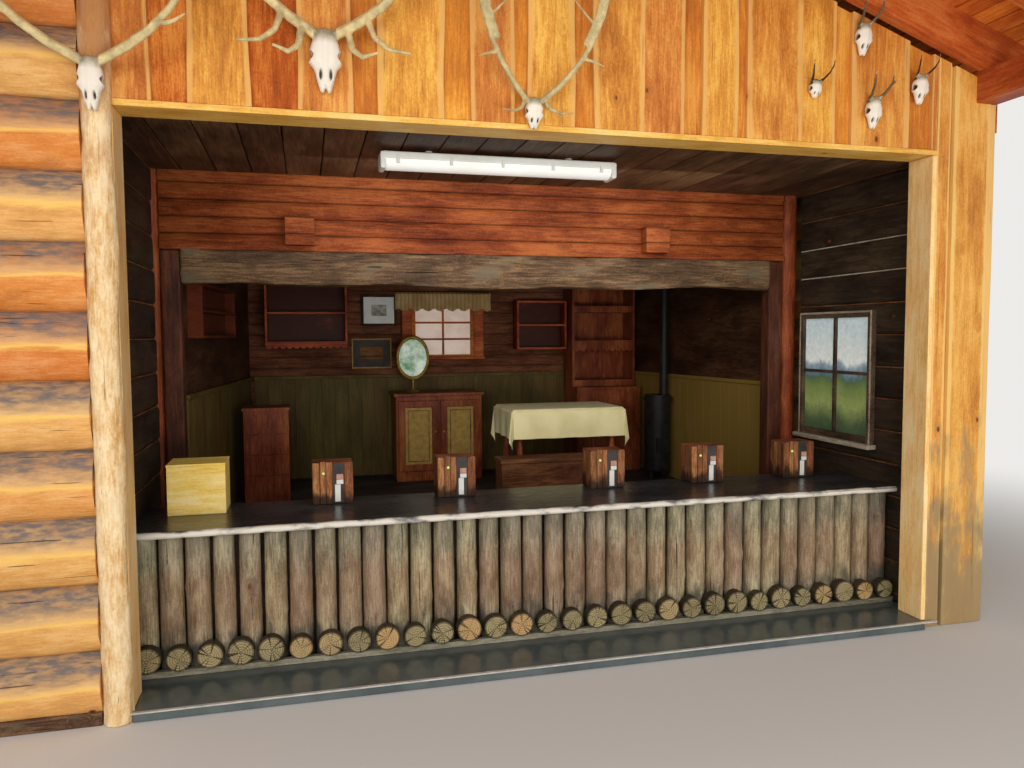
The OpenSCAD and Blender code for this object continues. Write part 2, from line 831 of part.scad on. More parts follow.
// Two stags, a fallow buck, two roebucks and two chamois, on the hewn post and on the gable.
// A tine is given by its share of the beam, then its bend and its end from there.
module antler_mounts() {
    short_tine = [[0.4, [50, -40, -25], [110, -50, 25]]];
    long_tines = [[0.08, [10, -70, -190], [120, -90, -120]], [0.22, [20, -60, -170], [180, -80, -165]]];
    buck_tines = [[0.03, [25, -50, -95], [125, -70, -75]], [0.4, [50, -15, -10], [95, -25, -35]],
                  [0.6, [-60, 0, 45], [-150, -10, 150]], [0.8, [60, 0, 10], [130, -10, 35]]];
    roe_tine = [[0.6, [12, -12, 10], [26, -26, 30]]];
    horn_tip = [[1, [4, 6, 26], [14, 34, 12]]];
    post_skull = 0.8;
    post_skull_w = 0.45;
    post_stag_r = 21;
    stag_r = 24;
    buck_r = 16;
    roe_r = 10;
    horn_r = 8;
    stag_w = 0.6;
    buck_w = 0.8;
    roe_w = 0.68;
    post_mid = hewn_post_l + hewn_post_w / 2;
    low_roe = gable_place(open_r - low_roe_x, low_roe_up);
    high_roe = gable_place(open_r - high_roe_x, high_roe_up);
    left_horn = [gable_place(open_r - left_horn_x, left_horn_up), 0.5, 0.52];
    right_horn = [gable_place(open_r - right_horn_x, right_horn_up), 0.95, 0.68];
    color("#d8cdb4") in_plan() {
        translate([post_mid, -hewn_post_out, rake(post_mid) - post_stag_drop])
            mount(stag_skull_l * post_skull, stag_skull_l * post_skull_w, stag_spread, stag_rise,
                  stag_ahead, post_stag_r, short_tine);
        translate([open_mid - stag_x, 0, rake(open_mid - stag_x) - stag_drop])
            mount(stag_skull_l, stag_skull_l * stag_w, stag_spread, stag_rise, stag_ahead, stag_r,
                  long_tines);
        translate([open_mid - buck_x, 0, head_top + buck_z])
            mount(buck_skull_l, buck_skull_l * buck_w, buck_spread, buck_rise, buck_ahead, buck_r,
                  buck_tines, buck_blade);
        for (place = [low_roe, high_roe])
            translate(place)
                mount(roe_skull_l, roe_skull_l * roe_w, roe_spread, roe_rise, roe_ahead, roe_r, roe_tine);
        for (horn = [left_horn, right_horn])
            translate(horn[0])
                mount(roe_skull_l * horn[1], roe_skull_l * horn[2], horn_spread, horn_rise, horn_ahead,
                      horn_r, horn_tip);
    }
}

// Boards of the ceiling, over the whole room.
module ceiling() {
    color("#3b2a20") in_plan()
        block([inner_l - inner_wall_t, lining_d, opening_h],
              [inner_r + inner_wall_t, back_in - niche_gap, opening_h + ceiling_t]);
}

// Dark board walls between the lining and the niche.
module inner_walls() {
    color("#2f241d") in_plan() {
        block([inner_l - inner_wall_t, lining_d, ledge_h], [inner_l, beam_y - joint_gap, opening_h]);
        block([inner_r, lining_d, ledge_h], [inner_r + inner_wall_t, beam_y - joint_gap, opening_h]);
    }
}

// Window frame with a painted panel, hung on the right inner wall.
module painted_window() {
    y1 = beam_y - painted_end;
    y0 = y1 - painted_w;
    z0 = painted_z;
    z1 = z0 + painted_h;
    bar = 42;
    deep = 34;
    panel = 10;
    sill_t = 30;
    sill_over = 20;
    mid_y = (y0 + y1) / 2;
    mid_z = (z0 + z1) / 2;
    color("#4a3a2c") in_plan() {
        difference() {
            block([inner_r - deep, y0, z0], [inner_r, y1, z1]);
            for (y = [[y0 + bar, mid_y - bar / 3], [mid_y + bar / 3, y1 - bar]],
                 z = [[z0 + bar, mid_z - bar / 4], [mid_z + bar / 4, z1 - bar]])
                block([inner_r - deep - overcut, y[0], z[0]], [inner_r - panel, y[1], z[1]]);
        }
        block([inner_r - 2 * deep, y0 - sill_over, z0 - sill_t], [inner_r, y1 + sill_over, z0]);
    }
}

// Round posts at the sides of the niche.
module outer_posts() {
    r = outer_post_dia / 2;
    color("#8c4a2c") in_plan()
        for (x = [bulkhead_l - r - joint_gap, bulkhead_r + r + joint_gap])
            translate([x, beam_y + r, ledge_h]) cylinder(r = r, h = opening_h - ledge_h);
}

// Square posts that carry the hewn beam.
module inner_posts() {
    color("#3f2d24") in_plan()
        for (x = [beam_l - inner_post_w, beam_r])
            block([x, beam_y + post_set, ledge_h],
                  [x + inner_post_w, beam_y + post_set + inner_post_w, beam_z + beam_h]);
}

// Log-profile boards between the ceiling and the beam, with two block ends and a rail.
module bulkhead() {
    set_back = 30;
    y0 = beam_y + set_back;
    z0 = beam_z + beam_h;
    swell = 14;
    r = (board_h * board_h / 4 + swell * swell) / (2 * swell);
    rail_h = 34;
    rail_out = 26;
    block_z = z0 + rail_h;
    block_out = 100;
    color("#7c3f24") in_plan() {
        intersection() {
            block([bulkhead_l, y0 - swell, z0], [bulkhead_r, y0 + bulkhead_t, opening_h]);
            union() {
                block([bulkhead_l, y0, z0], [bulkhead_r, y0 + bulkhead_t, opening_h]);
                for (k = [0:board_count - 1])
                    translate([bulkhead_l, y0 - swell + r, z0 + (k + 0.5) * board_h])
                        rotate([0, 90, 0]) cylinder(r = r, h = bulkhead_r - bulkhead_l);
            }
        }
        block([bulkhead_l, y0 - rail_out, z0], [bulkhead_r, y0 + overcut, z0 + rail_h]);
        for (x = [open_l + left_block_x, open_r - right_block_in])
            block([x - block_w / 2, y0 - block_out, block_z],
                  [x + block_w / 2, y0 + overcut, block_z + block_w]);
    }
}

// Hewn beam between the inner posts, with a wavering underside.
module hewn_beam() {
    x0 = beam_l;
    x1 = beam_r;
    steps = 22;
    waver = 9;
    color("#5c5044") in_plan()
        translate([x0, beam_y + beam_t, beam_z]) rotate([90, 0, 0])
            linear_extrude(height = beam_t)
                polygon(concat(
                    [for (k = [0:steps]) [(x1 - x0) * k / steps, waver * (sin(k * 61) + sin(k * 23))]],
                    [[x1 - x0, beam_h], [0, beam_h]]));
}

// Smooth ledge at the foot of the opening.
module ledge() {
    color("#2b2f2e") in_plan() {
        block([open_l, -ledge_out, 0], [open_r, lining_d + overcut, ledge_h]);
        block([inner_l, lining_d, 0], [inner_r, counter_wall_y, ledge_h]);
    }
}

module foot_strip() {
    color("#8d8a78") in_plan()
        block([inner_l, strip_y, ledge_h], [inner_r, pole_y - pole_r - joint_gap, strip_top]);
}

// Radius of the k-th foot log and of the k-th pole: no two neighbours are alike.
foot_vary = 0.08;
pole_vary = 0.07;
function foot_size(k) = foot_r * (1 - foot_vary * (1 - sin(k * 77)));
function pole_size(k) = pole_r * (1 - pole_vary * (1 - sin(k * 101)));

// Short logs that lie with their cut ends to the front, on the strip.
module foot_logs() {
    first = open_mid - (foot_count - 1) * foot_pitch / 2;
    color("#8e8656") in_plan()
        for (k = [0:foot_count - 1])
            translate([first + k * foot_pitch, foot_y, strip_top + foot_size(k)])
                rotate([-90, 0, 0]) cylinder(r = foot_size(k), h = foot_l - joint_gap, $fn = 32);
}

// Upright poles under the counter.
module palisade() {
    first = open_mid - (pole_count - 1) * pole_pitch / 2;
    taper = 0.95;
    color("#7d7160") in_plan()
        for (k = [0:pole_count - 1])
            translate([first + k * pole_pitch, pole_y, ledge_h])
                cylinder(r1 = pole_size(k), r2 = pole_size(k) * taper,
                         h = counter_under - ledge_h, $fn = 32);
}

module counter_wall() {
    color("#2a2420") in_plan()
        block([inner_l, counter_wall_y, 0], [inner_r, counter_wall_y + counter_wall_t, counter_under]);
}

// Counter top with a rounded nosing along its front edge.
module counter_top() {
    back_y = counter_y + counter_d;
    nose = counter_t / 2;
    color("#221f1d") in_plan() {
        block([inner_l, counter_y + nose, counter_under], [inner_r, back_y, counter_h]);
        translate([inner_l, counter_y + nose, counter_under + nose]) rotate([0, 90, 0])
            cylinder(r = nose, h = inner_r - inner_l);
    }
}

// Five slatted boxes and one plywood box on the counter.
module counter_boxes() {
    box_w = 215;
    box_d = 150;
    box_h = 235;
    ply_w = 290;
    ply_d = 240;
    ply_h = 265;
    box_in = 25;
    ply_in = 5;
    box_y = counter_y + counter_d - box_d - box_in;
    ply_y = counter_y + counter_d - ply_d - ply_in;
    ply_x = open_l + ply_box_x;
    color("#7a4b33") in_plan()
        for (x = [open_l + box_1_x, open_l + box_2_x, open_mid + box_3_mid,
                  open_r - box_4_in, open_r - box_5_in])
            block([x - box_w / 2, box_y, counter_h],
                  [x + box_w / 2, box_y + box_d, counter_h + box_h]);
    color("#d8b25c") in_plan()
        block([ply_x, ply_y, counter_h], [ply_x + ply_w, ply_y + ply_d, counter_h + ply_h]);
}

module hut_floor() {
    color("#4b463f") in_plan()
        difference() {
            block([-half_w + sill_in, lining_d, 0], [half_w - sill_in, hut_d - sill_in, ledge_h]);
            block([inner_l, 0, -overcut],
                  [inner_r, counter_wall_y + counter_wall_t, ledge_h + overcut]);
            for (x = [-half_w, half_w - corner_w])
                block([x, hut_d - corner_w, -overcut], [x + corner_w, hut_d, ledge_h + overcut]);
        }
}

// Raised floor of the niche, on joists with a board along their front.
module stage_floor() {
    y0 = niche_front_y;
    joist = 50;
    run = niche_r - niche_l - joist;
    joists = ceil(run / joist_pitch);
    color("#57402c") in_plan() {
        block([niche_l, y0, stage_h - stage_t], [niche_r, niche_y, stage_h]);
        block([niche_l, y0, ledge_h], [niche_r, y0 + stage_t, stage_h - stage_t]);
        for (k = [0:joists])
            block([niche_l + k * run / joists, y0 + stage_t, ledge_h],
                  [niche_l + k * run / joists + joist, niche_y, stage_h - stage_t]);
    }
}

// Back of the niche, of log-profile boards.
module niche_back() {
    swell = board_swell;
    past = 100;
    rows = ceil((opening_h - stage_h) / board_h);
    r = (board_h * board_h / 4 + swell * swell) / (2 * swell);
    color("#4a2d1f") in_plan()
        intersection() {
            block([back_l - past, niche_y - swell, stage_h], [back_r + past, niche_y + niche_t, opening_h]);
            union() {
                block([back_l - past, niche_y, stage_h], [back_r + past, niche_y + niche_t, opening_h]);
                for (k = [0:rows - 1])
                    translate([back_l - past, niche_y - swell + r, stage_h + (k + 0.5) * board_h])
                        rotate([0, 90, 0]) cylinder(r = r, h = back_r - back_l + 2 * past);
            }
        }
}

// Boarded sides of the niche, leaning in towards the back.
module niche_sides() {
    corner = 30;
    color("#45291c") in_plan() {
        translate([niche_l, niche_front_y, 0]) rotate([0, 0, -splay_angle])
            block([-niche_t, side_start, stage_h], [0, side_l - corner, opening_h]);
        translate([niche_r, niche_front_y, 0]) rotate([0, 0, splay_angle])
            block([0, side_start, stage_h], [niche_t, side_l - corner, opening_h]);
    }
}

// Boarded wainscot on the three sides of the niche.
module wainscot() {
    t = wainscot_t;
    corner = 30;
    color("#6b5f2a") in_plan() {
        translate([niche_l, niche_front_y, 0]) rotate([0, 0, -splay_angle])
            block([0, side_start, stage_h], [t, side_l - 2 * corner, wainscot_top]);
        translate([niche_r, niche_front_y, 0]) rotate([0, 0, splay_angle])
            block([-t, side_start, stage_h], [0, side_l - 2 * corner, wainscot_top]);
        block([back_l + corner, niche_y - board_swell - t, stage_h],
              [back_r - corner, niche_y - board_swell, wainscot_top]);
    }
}

// Window in the niche's back: a casing with two columns of three panes.
module niche_window() {
    x0 = open_mid + window_mid - window_w / 2;
    x1 = x0 + window_w;
    z1 = window_z + window_h;
    side = 124;
    rail = 45;
    bar = 18;
    pane_in = 28;
    pane_w = (window_w - 2 * side - bar) / 2;
    pane_h = (window_h - 2 * rail - side / 2 - 2 * bar) / 3;
    y = niche_y - board_swell;
    color("#a8532c") in_plan()
        difference() {
            block([x0, y - casing_t, window_z], [x1, y, z1]);
            for (i = [0, 1], k = [0:2])
                translate([x0 + side + i * (pane_w + bar), y - casing_t - overcut,
                           window_z + rail + k * (pane_h + bar)])
                    cube([pane_w, pane_in + overcut, pane_h]);
        }
}

// A hanging shelf: two sides, a number of boards and an open front.
module shelf_case(width, depth, height, tiers) {
    t = 18;
    gap = (height - t) / tiers;
    difference() {
        cube([width, depth, height]);
        for (k = [0:tiers - 1])
            translate([t, -overcut, k * gap + t]) cube([width - 2 * t, depth - t + overcut, gap - t]);
    }
}

// A board whose lower edge is cut to a row of half rounds, hanging from Z = 0.
module scalloped(width, thick) {
    strip = 14;
    rounds = round(width / scallop_w);
    step = width / rounds;
    translate([0, thick, 0]) rotate([90, 0, 0]) linear_extrude(height = thick)
        difference() {
            union() {
                translate([0, -strip]) square([width, strip + overcut]);
                for (k = [0:rounds - 1])
                    translate([(k + 0.5) * step, -strip]) circle(d = step - joint_gap, $fn = 24);
            }
            square([width, 2 * step]);
        }
}

// Plate shelf and small shelf on the niche's back, and a spice shelf on its left side.
module wall_shelves() {
    y = niche_y - board_swell;
    apron_t = 14;
    color("#a04a28") in_plan() {
        translate([open_l + plate_shelf_x, y - shelf_d, plate_shelf_z])
            shelf_case(plate_shelf_w, shelf_d, plate_shelf_h, 2);
        translate([open_l + plate_shelf_x, y - shelf_d, plate_shelf_z]) scalloped(plate_shelf_w, apron_t);
        translate([open_r - small_shelf_in - small_shelf_w, y - shelf_d, small_shelf_z])
            shelf_case(small_shelf_w, shelf_d, small_shelf_h, 2);
        translate([niche_l, niche_front_y, 0]) rotate([0, 0, -splay_angle])
            translate([0, spice_shelf_y, spice_shelf_z]) rotate([0, 0, 90])
                translate([0, -spice_shelf_d, 0])
                    shelf_case(spice_shelf_l, spice_shelf_d, spice_shelf_h, 2);
    }
}

// Two framed pictures on the niche's back.
module wall_frames() {
    y = niche_y - board_swell;
    frame_t = 22;
    color("#6a4a2a") in_plan()
        for (f = [[frame_1_mid, frame_1_z, frame_1_w, frame_1_h],
                  [frame_2_mid, frame_2_z, frame_2_w, frame_2_h]])
            block([open_mid + f[0] - f[2] / 2, y - frame_t, f[1]],
                  [open_mid + f[0] + f[2] / 2, y, f[1] + f[3]]);
}

// Oval mirror on a turned stand, on the dresser.
module oval_mirror() {
    t = 24;
    foot_r = 60;
    foot_h = 16;
    stem_r = 14;
    color("#b58a32") in_plan()
        translate([open_mid + mirror_mid, dresser_y + dresser_d / 2, stage_h + dresser_h]) {
            cylinder(r = foot_r, h = foot_h);
            cylinder(r = stem_r, h = mirror_z + t);
            translate([0, t / 2, mirror_z + mirror_h / 2]) rotate([90, 0, 0])
                linear_extrude(height = t) scale([mirror_w / mirror_h, 1]) circle(d = mirror_h);
        }
}

// Pelmet of gathered cloth on a rod over the niche window.
module window_pelmet() {
    y = niche_y - board_swell - casing_t - joint_gap;
    t = 36;
    lift = 28;
    z = window_z + window_h + lift;
    color("#cdb182") in_plan()
        block([open_mid + window_mid - pelmet_w / 2, y - t, z - pelmet_h],
              [open_mid + window_mid + pelmet_w / 2, y, z]);
}

// Dresser with a top board and two panelled doors.
module dresser() {
    lip = 18;
    top_t = 26;
    stile = 20;
    frame = 55;
    recess = 8;
    door_set = 2;
    door_z = 90;
    door_w = (dresser_w - 2 * lip - 3 * stile) / 2;
    door_h = dresser_h - top_t - door_z - 2 * stile;
    color("#6a3a22") in_plan() translate([open_mid + dresser_mid - dresser_w / 2, dresser_y, stage_h]) {
        translate([lip, lip, 0]) cube([dresser_w - 2 * lip, dresser_d - lip, dresser_h - top_t]);
        translate([0, 0, dresser_h - top_t]) cube([dresser_w, dresser_d, top_t]);
        for (i = [0, 1])
            translate([lip + stile + i * (door_w + stile), door_set, door_z])
                difference() {
                    cube([door_w, lip, door_h]);
                    translate([frame, -overcut, frame])
                        cube([door_w - 2 * frame, recess + overcut, door_h - 2 * frame]);
                }
    }
}

// Drawer fronts one over the other, each with a turned knob, on a face at Y = 0.
module drawers(width, low, high, count) {
    edge = 14;
    out = 8;
    knob_r = 11;
    knob_out = 20;
    step = (high - low) / count;
    for (k = [0:count - 1])
        translate([edge, -out, low + k * step + edge / 2]) {
            cube([width - 2 * edge, out + overcut, step - edge]);
            translate([width / 2 - edge, overcut, (step - edge) / 2]) rotate([90, 0, 0])
                cylinder(r = knob_r, h = knob_out, $fn = 20);
        }
}

// Tall cupboard: drawers below, then an open case, and a larger one with a board between.
module tall_cupboard() {
    x = open_r - hutch_in - hutch_w;
    y = niche_y - board_swell - wainscot_t - hutch_d;
    lower = 780;
    upper_d = 260;
    t = 20;
    rail = 60;
    low_case_h = 310;
    high_case_h = (hutch_h - lower - low_case_h - 4 * rail) / 2;
    apron_t = 16;
    color("#6b3720") in_plan() translate([x, y, stage_h]) {
        cube([hutch_w, hutch_d, lower]);
        drawers(hutch_w, rail, lower - t, drawer_count);
        translate([t, hutch_d - upper_d, lower + rail + low_case_h]) scalloped(hutch_w - 2 * t, apron_t);
        difference() {
            translate([0, hutch_d - upper_d, lower]) cube([hutch_w, upper_d, hutch_h - lower]);
            for (c = [[lower + rail, low_case_h],
                      [lower + low_case_h + 2 * rail, high_case_h],
                      [lower + low_case_h + high_case_h + 3 * rail, high_case_h]])
                translate([t, hutch_d - upper_d - overcut, c[0]])
                    cube([hutch_w - 2 * t, upper_d - t, c[1]]);
        }
    }
}

// A turned leg: rings and a long swelling under a square block.
module turned_leg(height, block_h, side) {
    r = side / 2;
    turned = height - block_h;
    translate([-r, -r, turned - overcut]) cube([side, side, block_h + overcut]);
    rotate_extrude($fn = 28)
        polygon([[0, 0], [0.6 * r, 0], [0.85 * r, 0.05 * turned], [0.6 * r, 0.1 * turned],
                 [0.55 * r, 0.14 * turned], [0.95 * r, 0.45 * turned], [0.7 * r, 0.74 * turned],
                 [0.55 * r, 0.82 * turned], [0.9 * r, 0.86 * turned], [0.6 * r, 0.91 * turned],
                 [0.9 * r, turned], [0, turned]]);
}

// Table: a top and an apron on four turned legs.
module table() {
    t = 28;
    leg = 60;
    inset = 40;
    apron_h = 90;
    color("#8a4d28") in_plan()
        translate([open_r - table_in - table_l, niche_front_y + table_y, stage_h]) {
            translate([0, 0, table_h - t]) cube([table_l, table_w, t]);
            translate([inset, inset, table_h - t - apron_h])
                cube([table_l - 2 * inset, table_w - 2 * inset, apron_h]);
            for (i = [inset + leg / 2, table_l - inset - leg / 2],
                 k = [inset + leg / 2, table_w - inset - leg / 2])
                translate([i, k, 0]) turned_leg(table_h - t, apron_h + leg / 2, leg);
        }
}

// Cloth laid over the table, hanging on all sides.
module tablecloth() {
    x = open_r - table_in - table_l;
    y = niche_front_y + table_y;
    cloth = 8;
    out = 22;
    color("#e3dcae") in_plan() translate([x, y, stage_h + table_h])
        difference() {
            translate([-out, -out, -cloth_drop])
                cube([table_l + 2 * out, table_w + 2 * out, cloth_drop + cloth]);
            translate([-out + cloth, -out + cloth, -cloth_drop - overcut])
                cube([table_l + 2 * out - 2 * cloth, table_w + 2 * out - 2 * cloth, cloth_drop + overcut]);
        }
}

// Round stove on three legs with a flue up to the ceiling.
module stove() {
    x = open_r - stove_in;
    y = niche_front_y + stove_y;
    r = stove_dia / 2;
    foot = 90;
    leg_r = 13;
    flue_r = 38;
    flue_out = 58;
    rim_out = 14;
    rim_h = 24;
    rim_z = stove_h - 2 * rim_h;
    door_w = 110;
    door_h = 120;
    door_z = foot + 160;
    door_out = 10;
    color("#161616") in_plan() translate([x, y, stage_h]) {
        translate([0, 0, foot]) cylinder(r = r, h = stove_h - foot);
        translate([0, 0, rim_z]) cylinder(r = r + rim_out, h = rim_h);
        translate([-door_w / 2, -r - door_out, door_z]) cube([door_w, r, door_h]);
        for (a = [90, 210, 330])
            rotate([0, 0, a]) translate([r - 2 * leg_r, 0, 0]) cylinder(r = leg_r, h = foot + overcut);
        translate([flue_out, 0, stove_h - overcut])
            cylinder(r = flue_r, h = opening_h - stage_h - stove_h + overcut);
    }
}

// Low chest in front of the table.
module chest() {
    depth = 200;
    lid_t = 30;
    lid_out = 10;
    color("#5a3420") in_plan()
        translate([open_r - chest_in - chest_l, niche_front_y + chest_y, stage_h]) {
            cube([chest_l, depth, chest_h - lid_t]);
            translate([-lid_out, -lid_out, chest_h - lid_t])
                cube([chest_l + 2 * lid_out, depth + lid_out, lid_t]);
        }
}

// Drawer cabinet at the left side of the niche.
module drawer_cabinet() {
    x = open_l + cabinet_x;
    y = niche_front_y + cabinet_y;
    depth = 300;
    lip = 10;
    top_t = 22;
    color("#7a3a20") in_plan() translate([x, y, stage_h]) {
        cube([cabinet_w, depth, cabinet_h - top_t]);
        drawers(cabinet_w, 2 * top_t, cabinet_h - 2 * top_t, drawer_count);
        translate([-lip, -lip, cabinet_h - top_t]) cube([cabinet_w + 2 * lip, depth + lip, top_t]);
    }
}

// Long lamp under the ceiling: a flat housing over a rounded cover.
module lamp() {
    hang = 20;
    hanger = 40;
    housing_h = 38;
    cap = 30;
    edge = 6;
    cover_w = lamp_w - 2 * edge;
    sag = lamp_h - housing_h;
    r = (cover_w * cover_w / 4 + sag * sag) / (2 * sag);
    color("#f2f2ea") in_plan()
        translate([open_mid + lamp_mid - lamp_l / 2, lamp_y, opening_h - hang - lamp_h]) {
            translate([0, 0, sag]) cube([lamp_l, lamp_w, housing_h]);
            intersection() {
                translate([cap, lamp_w / 2, r]) rotate([0, 90, 0]) cylinder(r = r, h = lamp_l - 2 * cap);
                translate([0, edge, 0]) cube([lamp_l, cover_w, sag + overcut]);
            }
            for (x = [0, lamp_l - cap]) translate([x, edge, edge]) cube([cap, cover_w, sag]);
            for (x = [lamp_l / 5, lamp_l * 4 / 5])
                translate([x - hanger / 2, (lamp_w - hanger) / 2, lamp_h]) cube([hanger, hanger, hang]);
        }
}

ground_sill();
front_logs();
left_logs();
right_logs();
back_logs();
corner_posts();
hewn_post();
right_pier();
opening_lining();
front_gable();
back_gable();
ridge_beam();
eave_beams();
rafters();
roof_deck();
shingles();
ridge_cap();
barge_boards();
antler_mounts();
ceiling();
inner_walls();
painted_window();
outer_posts();
inner_posts();
bulkhead();
hewn_beam();
ledge();
foot_strip();
foot_logs();
palisade();
counter_wall();
counter_top();
counter_boxes();
hut_floor();
stage_floor();
niche_back();
niche_sides();
wainscot();
niche_window();
window_pelmet();
wall_shelves();
wall_frames();
dresser();
oval_mirror();
tall_cupboard();
table();
tablecloth();
stove();
chest();
drawer_cabinet();
lamp();
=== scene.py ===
import json
import logging
import math
import random
from dataclasses import dataclass, field, replace
from enum import Enum
from typing import Callable, Optional, Sequence

import bmesh
import bpy
from mathutils import Matrix, Vector, noise

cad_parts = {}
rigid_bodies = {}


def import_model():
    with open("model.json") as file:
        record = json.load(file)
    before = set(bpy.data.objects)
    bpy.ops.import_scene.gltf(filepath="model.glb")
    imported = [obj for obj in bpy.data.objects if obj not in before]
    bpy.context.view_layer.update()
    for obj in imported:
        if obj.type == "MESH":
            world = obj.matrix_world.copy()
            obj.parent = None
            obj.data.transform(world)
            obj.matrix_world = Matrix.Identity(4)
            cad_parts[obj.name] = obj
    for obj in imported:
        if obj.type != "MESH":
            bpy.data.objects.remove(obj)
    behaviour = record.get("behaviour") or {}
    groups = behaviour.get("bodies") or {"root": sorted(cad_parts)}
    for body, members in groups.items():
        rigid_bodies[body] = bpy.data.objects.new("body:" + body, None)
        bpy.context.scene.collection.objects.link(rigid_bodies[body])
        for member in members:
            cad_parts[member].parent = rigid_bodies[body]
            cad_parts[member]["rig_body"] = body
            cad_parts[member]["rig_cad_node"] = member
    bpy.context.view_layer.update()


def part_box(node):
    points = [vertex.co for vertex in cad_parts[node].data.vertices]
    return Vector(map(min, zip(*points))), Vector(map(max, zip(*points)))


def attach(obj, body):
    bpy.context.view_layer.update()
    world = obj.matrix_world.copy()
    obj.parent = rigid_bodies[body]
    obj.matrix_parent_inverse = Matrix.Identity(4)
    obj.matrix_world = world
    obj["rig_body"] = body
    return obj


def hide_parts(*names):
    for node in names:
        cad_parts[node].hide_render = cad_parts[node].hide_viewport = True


LOG = logging.getLogger("timber_hut")
BODY = "root"
ROOF_ANGLE = math.radians(19.2)
BOARD_SHIFT = (13.0, 7.0, 29.0)
# Lays what stands upright down, so that its upper end looks out of the front
FORWARD = Matrix.Rotation(math.pi / 2, 4, "X")
MM = 0.001

Node = bpy.types.ShaderNode
Socket = bpy.types.NodeSocket
Tree = bpy.types.NodeTree
Source = Node | Socket
Thing = bpy.types.Object
Point = Sequence[float]


def linear(code: str) -> tuple[float, float, float, float]:
    """Turns an sRGB hex value to a linear colour.

    Args:
        code: Six hex digits after a number sign.

    Returns:
        Red, green, blue and an alpha of 1.
    """
    values = [int(code[i:i + 2], 16) / 255 for i in (1, 3, 5)]
    return (*[v / 12.92 if v <= 0.04045 else ((v + 0.055) / 1.055) ** 2.4 for v in values], 1.0)


def add(tree: Tree, kind: str, inputs: dict | list | None = None,
        stops: Sequence[tuple[float, str]] = (), **settings: object) -> Node:
    """Adds one shader node with its settings and links.

    Args:
        tree: The tree that gets the node.
        kind: Its type, without the words ShaderNode.
        inputs: What its sockets get, by name or number, or as a list in their order: a value, a
            socket, or a node whose first live output it is.
        stops: A ramp's places and colours.
        settings: Values for its properties.

    Returns:
        The new node.
    """
    node = tree.nodes.new("ShaderNode" + kind)
    for key, value in settings.items():
        setattr(node, key, value)
    for k, (place, code) in enumerate(stops):
        ramp = node.color_ramp.elements
        element = ramp[k] if k < len(ramp) else ramp.new(1.0)
        element.position, element.color = place, linear(code)
    for key, value in inputs.items() if isinstance(inputs, dict) else enumerate(inputs or ()):
        if isinstance(value, Node):
            value = next(socket for socket in value.outputs if socket.enabled)
        if isinstance(value, Socket):
            tree.links.new(value, node.inputs[key])
        else:
            node.inputs[key].default_value = value
    return node


class Side(Enum):
    """The side of the hut that a wall closes, with the turn that its face needs."""

    FRONT = 0.0
    BACK = math.pi
    LEFT = -math.pi / 2
    RIGHT = math.pi / 2


class Grain(Enum):
    """The direction that the fibres of a piece of wood run in."""

    ALONG = 0
    INWARD = 1
    UPWARD = 2

    def scale(self, width_mm: float, stretch: float) -> tuple[float, float, float]:
        """Scale of a pattern that is this wide, and longer along the fibres.

        Args:
            width_mm: Width of one feature in millimetres.
            stretch: How many times longer than wide it is.

        Returns:
            A scale for each of the three directions, per metre.
        """
        across = 1.0 / (width_mm * MM)
        return tuple(across / stretch if i == self.value else across for i in range(3))


@dataclass(frozen=True)
class Look:
    """What a finish hands to its shader."""

    colour: Source
    rough: Optional[Source] = None
    height: Optional[Source] = None


@dataclass(frozen=True)
class Finish:
    """A surface: a name, the shader's plain numbers, and the pattern on it."""

    name: str
    gloss_rough: float = 0.6
    specular: float = 0.35
    coat: float = 0.0
    coat_rough: float = 0.25
    metallic: float = 0.0
    sheen: float = 0.0
    glow: float = 0.0
    relief_mm: float = 1.2

    def paint(self, tree: Tree) -> Look:
        """Builds the pattern. Each kind of finish has its own.

        Args:
            tree: The material's tree.

        Returns:
            The sockets for colour, roughness and height.
        """
        raise NotImplementedError

    def laid(self, tree: Tree, colour: Source | str,
             *coats: tuple[Source | float, Source | str]) -> Node:
        """Lays coats over a colour, each as much as its share says.

        Args:
            tree: The material's tree.
            colour: The colour below.
            coats: The share and the colour of each coat.

        Returns:
            The colour that shows.
        """
        for share, coat in coats:
            below, above = [linear(c) if isinstance(c, str) else c for c in (colour, coat)]
            colour = add(tree, "Mix", {0: share, 6: below, 7: above}, data_type="RGBA")
        return colour

    def material(self) -> bpy.types.Material:
        """The finish as a material, made once.

        Returns:
            The material.
        """
        known = bpy.data.materials.get(self.name)
        if known:
            return known
        material = bpy.data.materials.new(self.name)
        material.use_nodes = True
        tree = material.node_tree
        tree.nodes.clear()
        look = self.paint(tree)
        facts = {"Base Color": look.colour, "Roughness": look.rough or self.gloss_rough,
            "Specular IOR Level": self.specular, "Coat Weight": self.coat,
            "Coat Roughness": self.coat_rough, "Metallic": self.metallic, "Sheen Weight": self.sheen}
        if self.glow:
            facts |= {"Emission Strength": self.glow, "Emission Color": look.colour}
        if look.height:
            facts["Normal"] = add(tree, "Bump", {"Height": look.height, "Distance": self.relief_mm * MM})
        add(tree, "OutputMaterial", {"Surface": add(tree, "BsdfPrincipled", facts)})
        return material


